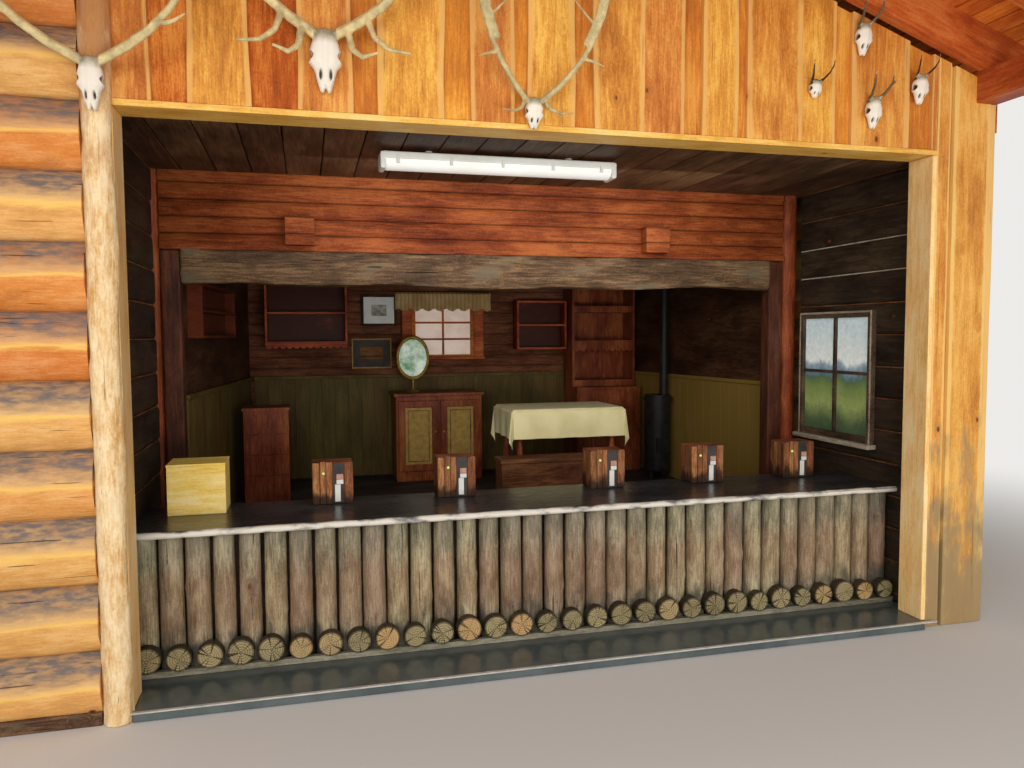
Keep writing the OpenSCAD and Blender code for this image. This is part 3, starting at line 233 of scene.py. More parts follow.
@dataclass(frozen=True)
class Timber(Finish):
    """Softwood, sawn or hewn: soft clouds of colour, growth lines, fibres, knots and cracks."""

    gloss_rough: float = 0.55
    dark: str = "#7a4a20"
    mid: str = "#b57a3a"
    light: str = "#d9a357"
    knot: str = "#6b3a1e"
    brim: str = ""
    grain: Grain = Grain.ALONG
    cloud_mm: float = 190.0
    band_mm: float = 42.0
    stretch: float = 12.0
    fibre_mm: float = 7.0
    knots: float = 0.3
    cracks: float = 0.35
    spread: float = 0.3
    warm: float = 0.012
    rings: float = 40.0
    grey: str = "#6f665a"
    grey_share: float = 0.0
    on_slope: bool = False

    def weather(self, tree: Tree, place: Source, colour: Source) -> Source:
        """Adds wear or stains that belong to one kind of timber. Plain timber has none."""
        return colour

    def noise(self, tree: Tree, place: Source, width_mm: float, stretch: float,
              detail: float = 3.0) -> Source:
        """A soft field that is longer along the grain.

        Args:
            tree: The material's tree.
            place: Where the field is read.
            width_mm: Width of one cloud across the grain.
            stretch: How many times longer it is along the grain.
            detail: How much finer detail it has.

        Returns:
            The field, about 0.5 in the middle.
        """
        spot = add(tree, "Mapping", {"Vector": place, "Scale": self.grain.scale(width_mm, stretch)})
        return add(tree, "TexNoise", {"Vector": spot, "Scale": 1.0, "Detail": detail, "Roughness": 0.6})

    def paint(self, tree: Tree) -> Look:
        """Builds the wood.

        Args:
            tree: The material's tree.

        Returns:
            The sockets for colour, roughness and height.
        """
        here = add(tree, "TexCoord").outputs["Object"]
        place = here
        if self.on_slope:
            place = add(tree, "VectorMath", [place], operation="ABSOLUTE")
            place = add(tree, "VectorRotate", {"Vector": place, "Angle": -ROOF_ANGLE},
                rotation_type="Y_AXIS")
        tone = add(tree, "Attribute", attribute_name="tone").outputs["Fac"]
        moved = add(tree, "VectorMath", [tone, BOARD_SHIFT, place], operation="MULTIPLY_ADD")
        # Knots stand in loose cells a hand apart; only some of the cells hold one
        cells = add(tree, "Mapping", {"Vector": moved, "Scale": self.grain.scale(150.0, 1.7)})
        cell = add(tree, "TexVoronoi", {"Vector": cells, "Scale": 1.0}, feature="F1")
        lot = add(tree, "SeparateColor", [cell.outputs["Color"]])
        chosen = add(tree, "Math", [lot, self.knots], operation="LESS_THAN")
        rings = [add(tree, "MapRange", [cell.outputs["Distance"], near, far, 1.0, 0.0],
            interpolation_type="SMOOTHSTEP") for near, far in ((0.04, 0.085), (0.05, 0.3))]
        core, halo = [add(tree, "Math", [ring, chosen], operation="MULTIPLY") for ring in rings]
        # The grain runs round a knot, and its lines are the contours of a long, soft field
        bent = add(tree, "VectorMath", [halo, (0.05, 0.05, 0.05), moved], operation="MULTIPLY_ADD")
        cloud = self.noise(tree, moved, self.cloud_mm, 2.4, 4.0)
        figure = self.noise(tree, bent, self.band_mm * 2.2, self.stretch)
        fibre = self.noise(tree, bent, self.fibre_mm, self.stretch)
        # Real pores are finer than a picture shows, so they are drawn as specks of 8 mm
        speck = self.noise(tree, moved, 8.0, 1.6, 2.0)
        turns = add(tree, "Math", [figure, self.rings], operation="MULTIPLY")
        wave = add(tree, "Math", [turns], operation="SINE")
        late = add(tree, "MapRange", [wave, -1.0, 1.0, 0.3, 0.7])
        grain = add(tree, "Mix", {0: 0.62, 2: late, 3: fibre})
        fine = add(tree, "Mix", {0: 0.3, 2: grain, 3: speck})
        mixed = add(tree, "Mix", {0: 0.55, 2: cloud, 3: fine})
        colour = add(tree, "ValToRGB", [mixed], stops=[(0.39, self.dark), (0.5, self.mid),
            (0.6, self.light)])
        value, hue = [add(tree, "MapRange", [tone, 0.0, 1.0, middle - half, middle + half])
            for middle, half in ((1.0, self.spread / 2), (0.5, self.warm))]
        colour = add(tree, "HueSaturation", {"Hue": hue, "Value": value, "Color": colour})
        if self.brim:
            # Sapwood shows as a paler strip along the sides of a board
            side = add(tree, "Attribute", attribute_name="across").outputs["Fac"]
            side = add(tree, "Math", [side], operation="ABSOLUTE")
            side = add(tree, "Math", [cloud, 0.3, side], operation="MULTIPLY_ADD")
            strip = add(tree, "MapRange", [side, 0.93, 1.03, 0.0, 0.75], interpolation_type="SMOOTHSTEP")
            colour = self.laid(tree, colour, (strip, self.brim))
        if self.grey_share > 0:
            faded = add(tree, "MapRange", [cloud, 0.62 - self.grey_share * 0.4,
                0.74 - self.grey_share * 0.4, 0.0, 0.85], interpolation_type="SMOOTHSTEP")
            colour = self.laid(tree, colour, (faded, self.grey))
        colour = self.weather(tree, here, colour)
        stain = add(tree, "Math", [halo, 0.45], operation="MULTIPLY")
        colour = self.laid(tree, colour, (stain, self.dark), (core, self.knot))
        split = self.noise(tree, moved, 14.0, 34.0, 2.0)
        crack = add(tree, "MapRange", [split, 0.68, 0.73, 0.0, self.cracks],
            interpolation_type="SMOOTHSTEP")
        colour = self.laid(tree, colour, (crack, "#2a1a10"))
        height = add(tree, "Math", [fine, crack], operation="SUBTRACT")
        rough = add(tree, "MapRange", [fibre, 0.3, 0.7, self.gloss_rough - 0.08, self.gloss_rough + 0.1])
        return Look(colour, rough, height)


@dataclass(frozen=True)
class CoursedTimber(Timber):
    """Timber laid in level courses."""

    pitch: float = 0.292
    first: float = 0.02

    def course(self, tree: Tree, place: Source) -> Node:
        """Where a place lies in its course, from 0 at the foot to 1 at the head."""
        up = add(tree, "SeparateXYZ", [place]).outputs[2]
        count = add(tree, "MapRange", [up, self.first, self.first + self.pitch, 0.0, 1.0], clamp=False)
        return add(tree, "Math", [count], operation="FRACT")


@dataclass(frozen=True)
class LogTimber(CoursedTimber):
    """Round spruce logs: grey where rain lies on their upper half, with a painted highlight over the crown
    and painted shade at each log's foot.
    """

    def weather(self, tree: Tree, place: Source, colour: Source) -> Source:
        """Adds each log's own colour, its grey upper half, a painted highlight over its crown and painted
        shade at its foot.
        """
        tone = add(tree, "Attribute", attribute_name="tone").outputs["Fac"]
        own = add(tree, "ValToRGB", [tone], stops=[(0.0, "#cf6d2b"), (0.3, "#de8a3c"), (0.6, "#e6b06a"),
            (1.0, "#dca463")])
        colour = self.laid(tree, colour, (0.6, own))
        share = self.course(tree, place)
        sway = self.noise(tree, place, 55.0, 7.0, 4.0)
        zone = add(tree, "Math", [sway, 0.28, share], operation="MULTIPLY_ADD")
        # The last of these ramps is a painted highlight: a bright band over the crown of each log
        fade, grey, crown = [add(tree, "ValToRGB", [zone], stops=stops)
            for stops in ([(0.6, "#000000"), (0.7, "#c4c4c4"), (0.95, "#606060")],
            [(0.67, "#000000"), (0.77, "#b0b0b0"), (0.9, "#ffffff")],
            [(0.58, "#000000"), (0.64, "#e6e6e6"), (0.7, "#000000")])]
        colour = self.laid(tree, colour, (fade, "#e9c083"))
        mottle = self.noise(tree, place, 24.0, 3.0, 4.0)
        patch = add(tree, "MapRange", [mottle, 0.38, 0.6, 0.5, 1.0])
        grey = add(tree, "Math", [grey, patch], operation="MULTIPLY")
        colour = self.laid(tree, colour, (grey, "#766b65"))
        # Painted shade: a dark band at the foot of each log, where it meets the log below
        foot = add(tree, "ValToRGB", [share], stops=[(0.0, "#a0a0a0"), (0.045, "#000000")])
        return self.laid(tree, colour, (foot, "#5a4436"), (crown, "#f4c668"))


@dataclass(frozen=True)
class StainedTimber(Timber):
    """Timber with a second colour over a height or a depth: splashes, wear or a faded foot."""

    axis: int = 2
    near: float = 0.0
    far: float = 1.0
    second: str = "#6a5a44"
    amount: float = 0.8
    patch_mm: float = 160.0

    def weather(self, tree: Tree, place: Source, colour: Source) -> Source:
        """Adds the second colour, full at the near end and none at the far one."""
        way = add(tree, "SeparateXYZ", [place]).outputs[self.axis]
        fade = add(tree, "MapRange", [way, self.near, self.far, 0.34, -0.34])
        spot = self.noise(tree, place, self.patch_mm, 2.5, 5.0)
        both = add(tree, "Math", [fade, spot], operation="ADD")
        mask = add(tree, "MapRange", [both, 0.45, 0.72, 0.0, self.amount],
            interpolation_type="SMOOTHSTEP")
        return self.laid(tree, colour, (mask, self.second))


@dataclass(frozen=True)
class PoleTimber(StainedTimber):
    """A peeled pole: its middle worn to bare wood, its head grey, its foot dark from splashes."""

    height: float = 0.713
    bare: str = "#97704f"
    head: str = "#7e7d69"

    def weather(self, tree: Tree, place: Source, colour: Source) -> Source:
        """Adds the bare middle, the grey head and the dark foot."""
        up = add(tree, "SeparateXYZ", [place]).outputs[2]
        spot = self.noise(tree, place, 45.0, 4.0, 4.0)
        high = add(tree, "MapRange", [up, 0.0, self.height, 0.0, 0.8])
        level = add(tree, "Math", [spot, 0.4, high], operation="MULTIPLY_ADD")
        for code, stops in (
                (self.bare, [(0.38, "#000000"), (0.52, "#a0a0a0"), (0.72, "#a0a0a0"), (0.86, "#000000")]),
                (self.head, [(0.76, "#000000"), (0.95, "#a0a0a0")])):
            share = add(tree, "ValToRGB", [level], stops=stops)
            colour = self.laid(tree, colour, (share, code))
        return super().weather(tree, place, colour)


@dataclass(frozen=True)
class JointedTimber(CoursedTimber):
    """Log-profile boards: painted shade darkens the joints between them, and a painted highlight lies over
    their swell.
    """

    pitch: float = 0.098
    first: float = 0.4

    def weather(self, tree: Tree, place: Source, colour: Source) -> Source:
        """Adds painted shade in the joints and a painted highlight over the swells."""
        share = self.course(tree, place)
        # Painted shade in the joint grooves, then a painted highlight over each swell
        for code, stops in (
                ("#150b06", [(0.0, "#e8e8e8"), (0.09, "#303030"), (0.2, "#000000"), (0.82, "#000000"),
                             (0.93, "#484848"), (1.0, "#e8e8e8")]),
                (self.light, [(0.35, "#000000"), (0.6, "#484848"), (0.8, "#000000")])):
            amount = add(tree, "ValToRGB", [share], stops=stops)
            colour = self.laid(tree, colour, (amount, code))
        return colour


@dataclass(frozen=True)
class ShelfTimber(StainedTimber):
    """Shelves that are dark at the wall, and darkened all over by painted shade in the corner that gets no
    light.
    """

    corner: float = -1.45
    shade: str = "#3d1c0e"

    def weather(self, tree: Tree, place: Source, colour: Source) -> Source:
        """Adds the dark back and the painted shade of the corner."""
        way = add(tree, "SeparateXYZ", [place])
        # Painted shade: past the given X the corner goes dark
        share = add(tree, "MapRange", [way, self.corner, self.corner - 0.1, 0.0, 0.8])
        return self.laid(tree, super().weather(tree, place, colour), (share, self.shade))


@dataclass(frozen=True)
class Mottled(Finish):
    """A coated, cast or moulded surface: one colour with soft clouds of a second and a fine grit."""

    gloss_rough: float = 0.3
    base: str = "#808080"
    second: str = "#606060"
    cloud_mm: float = 120.0
    grit_mm: float = 6.0
    contrast: float = 0.6

    def paint(self, tree: Tree) -> Look:
        """Builds the clouds and the grit.

        Args:
            tree: The material's tree.

        Returns:
            The sockets for colour, roughness and height.
        """
        place = add(tree, "TexCoord").outputs["Object"]
        cloud = add(tree, "TexNoise", {"Vector": place, "Scale": 1 / (self.cloud_mm * MM), "Detail": 5.0,
            "Roughness": 0.65})
        share = add(tree, "MapRange", [cloud, 0.4, 0.62, 0.0, self.contrast])
        colour = self.laid(tree, self.base, (share, self.second))
        grit = add(tree, "TexNoise", {"Vector": place, "Scale": 1 / (self.grit_mm * MM), "Detail": 2.0})
        rough = add(tree, "MapRange", [cloud, 0.3, 0.7, self.gloss_rough - 0.06, self.gloss_rough + 0.1])
        return Look(colour, rough, grit)


@dataclass(frozen=True)
class EndGrain(Finish):
    """The sawn end of a spruce log: rings, radial cracks, a pale heart and a dark rim."""

    light: str = "#b8a87c"
    dark: str = "#736444"
    rim: str = "#332c20"
    resin: str = "#b9834c"

    def paint(self, tree: Tree) -> Look:
        """Builds rings and cracks round each log's own middle, from its attribute core.

        Args:
            tree: The material's tree.

        Returns:
            The sockets for colour and height.
        """
        core = add(tree, "Attribute", attribute_name="core").outputs["Vector"]
        tone = add(tree, "Attribute", attribute_name="tone").outputs["Fac"]
        shift = add(tree, "VectorMath", [tone, BOARD_SHIFT, core], operation="MULTIPLY_ADD")
        wave = add(tree, "TexNoise", {"Vector": shift, "Scale": 1.6, "Detail": 2.0})
        reach = add(tree, "VectorMath", [core], operation="LENGTH").outputs["Value"]
        wide = add(tree, "Math", [wave, 0.25, reach], operation="MULTIPLY_ADD")
        ring = add(tree, "Math", [wide, 34.0], operation="MULTIPLY")
        ring = add(tree, "Math", [ring], operation="SINE")
        share = add(tree, "MapRange", [ring, -1.0, 1.0, 0.15, 0.75])
        colour = self.laid(tree, self.light, (share, self.dark))
        warm = add(tree, "MapRange", [tone, 0.55, 0.95, 0.0, 0.45])
        colour = self.laid(tree, colour, (warm, self.resin))
        way = add(tree, "VectorMath", [core], operation="NORMALIZE")
        ray = add(tree, "VectorMath", [tone, BOARD_SHIFT, way], operation="MULTIPLY_ADD")
        split = add(tree, "TexNoise", {"Vector": ray, "Scale": 5.5, "Detail": 3.0})
        gap = add(tree, "MapRange", [split, 0.57, 0.63, 0.0, 0.9])
        colour = self.laid(tree, colour, (gap, "#221d12"))
        edge = add(tree, "MapRange", [reach, 0.82, 0.97, 0.0, 0.95])
        colour = self.laid(tree, colour, (edge, self.rim))
        value = add(tree, "MapRange", [tone, 0.0, 1.0, 0.7, 1.25])
        colour = add(tree, "HueSaturation", {"Value": value, "Color": colour})
        height = add(tree, "Math", [share, gap], operation="SUBTRACT")
        return Look(colour, None, height)


@dataclass(frozen=True)
class Woven(Finish):
    """Cloth: threads that cross, over a slightly uneven dye."""

    base: str = "#d8cf98"
    second: str = "#b5a568"
    # A real thread is under a millimetre; it is drawn at this width so that it shows
    thread_mm: float = 5.0

    def paint(self, tree: Tree) -> Look:
        """Builds the weave on the cloth's own map.

        Args:
            tree: The material's tree.

        Returns:
            The sockets for colour and height.
        """
        flat = add(tree, "UVMap", uv_map="UVMap")
        parts = add(tree, "SeparateXYZ", [flat])
        turns = 2 * math.pi / (self.thread_mm * MM)
        waves = [add(tree, "Math", [add(tree, "Math", [part, turns], operation="MULTIPLY")],
            operation="SINE") for part in (parts.outputs[0], parts.outputs[1])]
        weave = add(tree, "Math", [waves[0], waves[1]], operation="MULTIPLY")
        cloud = add(tree, "TexNoise", {"Vector": add(tree, "TexCoord").outputs["Object"], "Scale": 7.0,
            "Detail": 4.0})
        both = add(tree, "Math", [weave, 0.16, cloud], operation="MULTIPLY_ADD")
        share = add(tree, "MapRange", [both, 0.35, 0.75, 0.0, 0.8])
        colour = self.laid(tree, self.base, (share, self.second))
        return Look(colour, None, weave)


@dataclass(frozen=True)
class Bone(Finish):
    """Bleached skulls and grown antlers: chalky bone, ribbed horn, pale tips and painted shade in the
    hollows.
    """

    skull: str = "#ece3d2"
    moss: str = "#9a9478"
    stag: str = "#cdb985"
    dark_horn: str = "#3e3228"
    tip: str = "#e8dcc0"
    # Painted shade in the eye sockets and nasal slots
    hollow: str = "#3a2d22"

    def paint(self, tree: Tree) -> Look:
        """Builds the colours from the attributes bone, dark, tip and hollow.

        Args:
            tree: The material's tree.

        Returns:
            The sockets for colour and height.
        """
        place = add(tree, "TexCoord").outputs["Object"]
        cloud = add(tree, "TexNoise", {"Vector": place, "Scale": 22.0, "Detail": 5.0, "Roughness": 0.65})
        # Beading and gutters of an antler are a few millimetres wide
        bead = add(tree, "TexNoise", {"Vector": place, "Scale": 140.0, "Detail": 2.0})
        bone, dark, tip, hollow, crown = [add(tree, "Attribute", attribute_name=name).outputs["Fac"]
            for name in ("bone", "dark", "tip", "hollow", "crown")]
        colour = self.laid(tree, self.stag, (dark, self.dark_horn))
        share = add(tree, "MapRange", [cloud, 0.35, 0.65, 0.7, 1.25])
        colour = add(tree, "HueSaturation", {"Value": share, "Color": colour})
        stained = add(tree, "Math", [crown, share], operation="MULTIPLY")
        bleached = self.laid(tree, self.skull, (stained, self.moss))
        colour = self.laid(tree, colour, (tip, self.tip), (bone, bleached), (hollow, self.hollow))
        return Look(colour, None, bead)


@dataclass(frozen=True)
class PaintedView(Finish):
    """A plain painted panel behind the bars of a window: sky, a soft ridge and a meadow."""

    sky: str = "#c5d3d4"
    haze: str = "#dfe4dc"
    ridge: str = "#5f7480"
    meadow: str = "#6d8048"
    near: str = "#46563a"
    horizon: float = 1.42

    def paint(self, tree: Tree) -> Look:
        """Builds the panel's bands of colour, with brush marks.

        Args:
            tree: The material's tree.

        Returns:
            The sockets for colour and height.
        """
        place = add(tree, "TexCoord").outputs["Object"]
        parts = add(tree, "SeparateXYZ", [place])
        hills = add(tree, "TexNoise", {"W": parts.outputs[1], "Scale": 3.2, "Detail": 3.0,
            "Roughness": 0.45}, noise_dimensions="1D")
        rise = add(tree, "Math", [hills, -0.34, parts.outputs[2]], operation="MULTIPLY_ADD")
        brush = add(tree, "TexNoise", {"Vector": place, "Scale": 38.0, "Detail": 4.0, "Roughness": 0.7})
        level = add(tree, "Math", [brush, 0.05, rise], operation="MULTIPLY_ADD")
        share = add(tree, "MapRange", [level, self.horizon - 0.62, self.horizon + 0.22, 0.0, 1.0])
        colour = add(tree, "ValToRGB", [share], stops=[(0.0, "#30402c"), (0.16, self.near),
            (0.3, "#8a9658"), (0.44, self.meadow), (0.5, "#53684c"), (0.53, self.ridge),
            (0.6, "#8ba0a8"), (0.64, self.haze), (0.9, self.sky)])
        dab = add(tree, "MapRange", [brush, 0.35, 0.7, 0.85, 1.12])
        colour = add(tree, "HueSaturation", {"Value": dab, "Color": colour})
        return Look(colour, None, brush)


# Oiled pine boards: honey brown, soft growth lines, dark knots, pale sapwood along the sides
GABLE_WIDE = Timber("pine_gable_wide_oiled", dark="#ad6426", mid="#d3893a", light="#e9b054",
    brim="#e3b064", band_mm=48, relief_mm=1.5, coat=0.05, gloss_rough=0.5, knots=0.45, spread=0.22,
    grain=Grain.UPWARD)
# The boards set back are duller and darker, as sun and oil reach them less
GABLE_DEEP = Timber("pine_gable_recessed_oiled", dark="#b4692a", mid="#d1832e", light="#e6a446",
    warm=0.006, band_mm=40, cracks=0.4, gloss_rough=0.6, knots=0.45, spread=0.24, grain=Grain.UPWARD)
# Resin-rich pine: redder, with broad pale sapwood
GABLE_RED = Timber("pine_gable_recessed_resin_rich", dark="#8c4319", mid="#b85f21", light="#db8c3c",
    brim="#dd9c50", warm=0.006, band_mm=40, cracks=0.4, specular=0.25, gloss_rough=0.6, spread=0.1,
    grain=Grain.UPWARD)
# Planed pine without oil: pale straw, a faint sheen, hardly a crack; its colour is raised as painted light,
# for the bright light reflected onto the jambs
LINING = Timber("pine_lining_planed", dark="#eab164", mid="#fbcf8a", light="#ffe3ae", warm=0.004,
    band_mm=36, coat=0.05, cracks=0.1, gloss_rough=0.5, knots=0.2, spread=0.1, grain=Grain.UPWARD)
# The board over the head is darker and more yellow than the jambs
LINING_HEAD = Timber("pine_lining_planed_head", dark="#d69a40", mid="#ecb959", light="#f8cf7e",
    band_mm=36, coat=0.12, cracks=0.1, gloss_rough=0.45, knots=0.2, spread=0.1)
# Oiled pine that splashes have greyed near the ground
PIER = StainedTimber("pine_pier_board_oiled", dark="#b8722c", mid="#da9840", light="#ecb45e",
    brim="#f0c777", band_mm=70, near=0.0, far=1.8, second="#94805f", amount=0.85, patch_mm=120,
    gloss_rough=0.5, spread=0.16, grain=Grain.UPWARD)
# A spruce trunk peeled with the axe: cream, long fibres, browner towards its head
HEWN = StainedTimber("pine_post_hewn", dark="#cf9a58", mid="#e6c592", light="#f2dab0", cloud_mm=60,
    band_mm=24, stretch=6.0, fibre_mm=9.0, cracks=0.5, near=3.3, far=1.5, second="#b06f34", amount=0.8,
    patch_mm=90, relief_mm=3.0, gloss_rough=0.65, knots=0.25, spread=0.1, grain=Grain.UPWARD)
# Weathered spruce logs: orange where dry, grey where rain lies, split by long cracks, with a painted
# highlight over each crown and painted shade at each foot
LOGS = LogTimber("spruce_log_weathered", dark="#a96229", mid="#d8954c", light="#f0c083", cloud_mm=70,
    band_mm=26, stretch=9.0, cracks=0.7, relief_mm=4.0, gloss_rough=0.62, knots=0.25, spread=0.15)
LOGS_SIDE = replace(LOGS, name="spruce_log_weathered_side", grain=Grain.INWARD)
# Planed pine under red-brown stain: an even colour and a faint grain
ROOF_RED = Timber("pine_rafter_stained", dark="#a34d1b", mid="#c9692b", light="#de8942", warm=0.006,
    on_slope=True, spread=0.2)
BEAM_RED = Timber("pine_eave_beam_stained", dark="#93441b", mid="#b85a26", light="#ce7a3b", warm=0.006,
    spread=0.35, grain=Grain.INWARD)
# Soffit boards under a thinner orange stain, which lets the grain show
DECK = Timber("pine_roof_board_stained", dark="#bb581d", mid="#dc752c", light="#ee954a", warm=0.006,
    coat=0.05, gloss_rough=0.5, grain=Grain.INWARD)
# Split wood shingles: grey brown, dry and rough, each of its own tone
SHINGLE = Timber("split_shingle_weathered", dark="#4d3d2e", mid="#6d5a45", light="#8a7862",
    on_slope=True, band_mm=22, cracks=0.6, relief_mm=2.5, gloss_rough=0.75, knots=0.0, spread=0.6)
# Boards stained nearly black, rubbed pale towards the opening
CEILING = StainedTimber("ceiling_board_dark_stained", dark="#2d1e14", mid="#4e3625", light="#6d4d37",
    near=-1.5, far=0.5, second="#a08668", amount=0.45, patch_mm=60, knots=0.4, spread=0.5,
    grain=Grain.INWARD)
# Wall boards under a nearly black stain that hides most of the grain
DARK = Timber("wall_board_dark_stained", dark="#1a1410", mid="#31271e", light="#463828", knots=0.4,
    spread=0.4, grain=Grain.INWARD)
# Square posts under dark brown stain, round ones under red brown, both with a low sheen
DARK_UP = Timber("post_dark_stained", dark="#2f1a0f", mid="#50301c", light="#72472b", knots=0.5,
    grain=Grain.UPWARD)
RED_UP = Timber("post_red_brown_stained", dark="#53260f", mid="#86471d", light="#ab652e",
    gloss_rough=0.5, knots=0.5, grain=Grain.UPWARD)
# Log-profile pine under red-brown stain, with painted shade in the joints and a painted highlight over each
# swell
BULKHEAD = JointedTimber("log_board_red_brown", dark="#5b2b11", mid="#8a4c20", light="#aa682f",
    band_mm=30, specular=0.15, first=2.172, gloss_rough=0.6, knots=0.6)
# A hewn beam left bare: grey brown, deep cracks, fibres that stand up
BEAM_GREY = Timber("beam_hewn_grey", dark="#2f2216", mid="#5b432d", light="#8a6b49", band_mm=26,
    fibre_mm=11.0, cracks=0.95, grey="#635744", grey_share=0.25, relief_mm=6.0, gloss_rough=0.65,
    knots=0.5, spread=0.35)
# Peeled poles: bare in the middle, grey at the head, dark with splashes at the foot
POLE = PoleTimber("pole_peeled_weathered", dark="#534636", mid="#8d7e65", light="#baa98a", cloud_mm=90,
    warm=0.02, band_mm=16, cracks=0.8, near=0.04, far=0.40, second="#404239", amount=0.85, patch_mm=70,
    relief_mm=3.5, spread=0.45, grain=Grain.UPWARD)
# Saw-cut spruce ends: rings, radial cracks and a dirty rim, all matt
LOG_END = EndGrain("spruce_log_end_sawn", gloss_rough=0.7, relief_mm=3.0)
# Sealed sheet metal: grey green, smooth enough to mirror the poles
LEDGE = Mottled("ledge_sealed_plate", base="#4b5453", second="#666e6c", cloud_mm=240, grit_mm=9,
    specular=0.5, relief_mm=0.3, gloss_rough=0.16)
# A sawn strip, weathered grey
STRIP = Timber("foot_strip_weathered", dark="#66624e", mid="#8d8871", light="#aaa58c", band_mm=14,
    gloss_rough=0.7, knots=0.0)
# Polished shelves: orange brown, dark towards the wall, and with painted shade in the dark corner
SHELVES = ShelfTimber("shelf_orange_brown_polished", dark="#6f3011", mid="#9c4c1f", light="#bd6b30",
    band_mm=26, coat=0.08, specular=0.25, axis=1, near=2.004, far=1.955, second="#2a140a", amount=0.9,
    gloss_rough=0.45, knots=0.2, spread=0.25)
# Brushed steel: pale, with soft reflections
STEEL = Mottled("edge_trim_brushed_steel", base="#e2e0da", second="#b5b3ac", cloud_mm=60, metallic=0.5,
    relief_mm=0.2, gloss_rough=0.4)
# Lacquered boards: nearly black and glossy, worn white along the nosing
COUNTER = StainedTimber("counter_board_lacquered", dark="#1f2022", mid="#2e3032", light="#43464a",
    axis=1, near=-1.285, far=-1.215, second="#e2dacb", amount=0.95, patch_mm=60, coat=0.3, relief_mm=0.6,
    gloss_rough=0.3, knots=0.1, spread=0.1)
# Stained slats: red brown, uneven in tone, with painted shade darkening them towards the foot
BOX_SLAT = StainedTimber("box_slat_stained", dark="#4c2919", mid="#7d4a2d", light="#a97049", band_mm=14,
    near=0.747, far=0.90, second="#20160f", amount=0.9, patch_mm=40, knots=0.2, spread=0.5,
    grain=Grain.UPWARD)
# Birch plywood: pale yellow with a long, calm figure
PLYWOOD = Timber("box_birch_plywood", dark="#e3b04c", mid="#f6d06b", light="#fce29b", band_mm=60,
    specular=0.2, cracks=0.05, knots=0.25, spread=0.12)
# Trodden floor boards: dark and dull
FLOOR = Timber("floor_board_worn", dark="#1d1814", mid="#37302a", light="#504840", gloss_rough=0.7,
    spread=0.4)
# Log-profile pine under dark brown stain, with painted shade that makes the joints black and a soft painted
# highlight on each swell
NICHE = JointedTimber("niche_log_board_dark", dark="#462a18", mid="#6b442a", light="#8b603e", band_mm=28,
    specular=0.2, first=0.4, gloss_rough=0.65, knots=0.4, spread=0.35)
# The niche's side boards are darker than its back wall, as painted shade, since the light runs along them
NICHE_SIDE = Timber("niche_side_board_dark", dark="#28190f", mid="#442d1b", light="#5f442a",
    specular=0.25, gloss_rough=0.6, knots=0.4, spread=0.35, grain=Grain.INWARD)
# Tongued boards in olive oil paint: flat, with a warmer, paler colour towards the right that is painted
# light
OLIVE = StainedTimber("wainscot_board_olive_paint", dark="#45371c", mid="#564623", light="#66532c",
    band_mm=50, cracks=0.05, relief_mm=0.5, specular=0.25, axis=0, near=2.25, far=0.6, second="#866a31",
    amount=0.8, patch_mm=400, gloss_rough=0.5, knots=0.0, spread=0.10, grain=Grain.UPWARD)
# Furniture wood, stained red brown and polished: fine grain, low gloss
RED_WOOD = Timber("furniture_red_brown_polished", dark="#592b12", mid="#824724", light="#a76934",
    band_mm=26, coat=0.12, specular=0.25, gloss_rough=0.4, knots=0.2, spread=0.25, grain=Grain.UPWARD)
# The window's casing: orange brown and polished
SHELF_WOOD = Timber("casing_orange_brown_polished", dark="#73300d", mid="#a5501a", light="#c76f2c",
    band_mm=26, coat=0.1, specular=0.25, gloss_rough=0.45, knots=0.2, spread=0.25)
# Old furniture wood, waxed: dark brown
DARK_WOOD = Timber("furniture_dark_brown_polished", dark="#402816", mid="#704a2b", light="#966a40",
    band_mm=24, coat=0.12, specular=0.25, gloss_rough=0.4)
# Limed panels: ochre with brown clouds, matt
INSET = Mottled("cupboard_inset_limed", base="#b5944f", second="#86683a", cloud_mm=45, grit_mm=5,
    specular=0.2, gloss_rough=0.6)
# Woven linen: cream, crossing threads, no gloss
LINEN = Woven("tablecloth_linen_woven", base="#f7e9b2", second="#e2d295", gloss_rough=0.9, sheen=0.05,
    relief_mm=0.5)
# Lace of unbleached thread: golden, coarse and soft
LACE = Woven("pelmet_lace_gathered", base="#f6d596", second="#cb9852", thread_mm=9.0, gloss_rough=0.9,
    sheen=0.05, relief_mm=1.5)
# Cast iron under stove black: black with a soft grey sheen
IRON = Mottled("stove_iron_blacked", base="#161514", second="#2a2826", cloud_mm=60, grit_mm=3,
    relief_mm=0.5, gloss_rough=0.38)
# Moulded plastic: an even, slightly warm white; its clear cover glows a little
WHITE = Mottled("lamp_housing_moulded", base="#ecece4", second="#d9d8cd", cloud_mm=200, relief_mm=0.1,
    gloss_rough=0.35)
TUBE = Mottled("lamp_cover_lit", base="#fdfcf6", second="#f3f0e4", cloud_mm=200, relief_mm=0.1,
    glow=0.25, gloss_rough=0.25)
# Milky glass with faint daylight behind it
PANE = Mottled("window_pane_milky", base="#e2cdbd", second="#cbb09a", cloud_mm=180, grit_mm=20,
    relief_mm=0.2, glow=0.3)
# Gilt gesso: worn gold, brown in the hollows
GILT = Mottled("mirror_frame_gilt", base="#b8923c", second="#7c5a20", cloud_mm=30, grit_mm=4,
    metallic=0.7, relief_mm=0.8, gloss_rough=0.35)
# Silvered glass: bright, with green clouds that are a painted reflection of the room
MIRROR = Mottled("mirror_glass_silvered", base="#cfd8cb", second="#3f7a48", cloud_mm=170, metallic=0.9,
    contrast=0.9, relief_mm=0.0, gloss_rough=0.10)
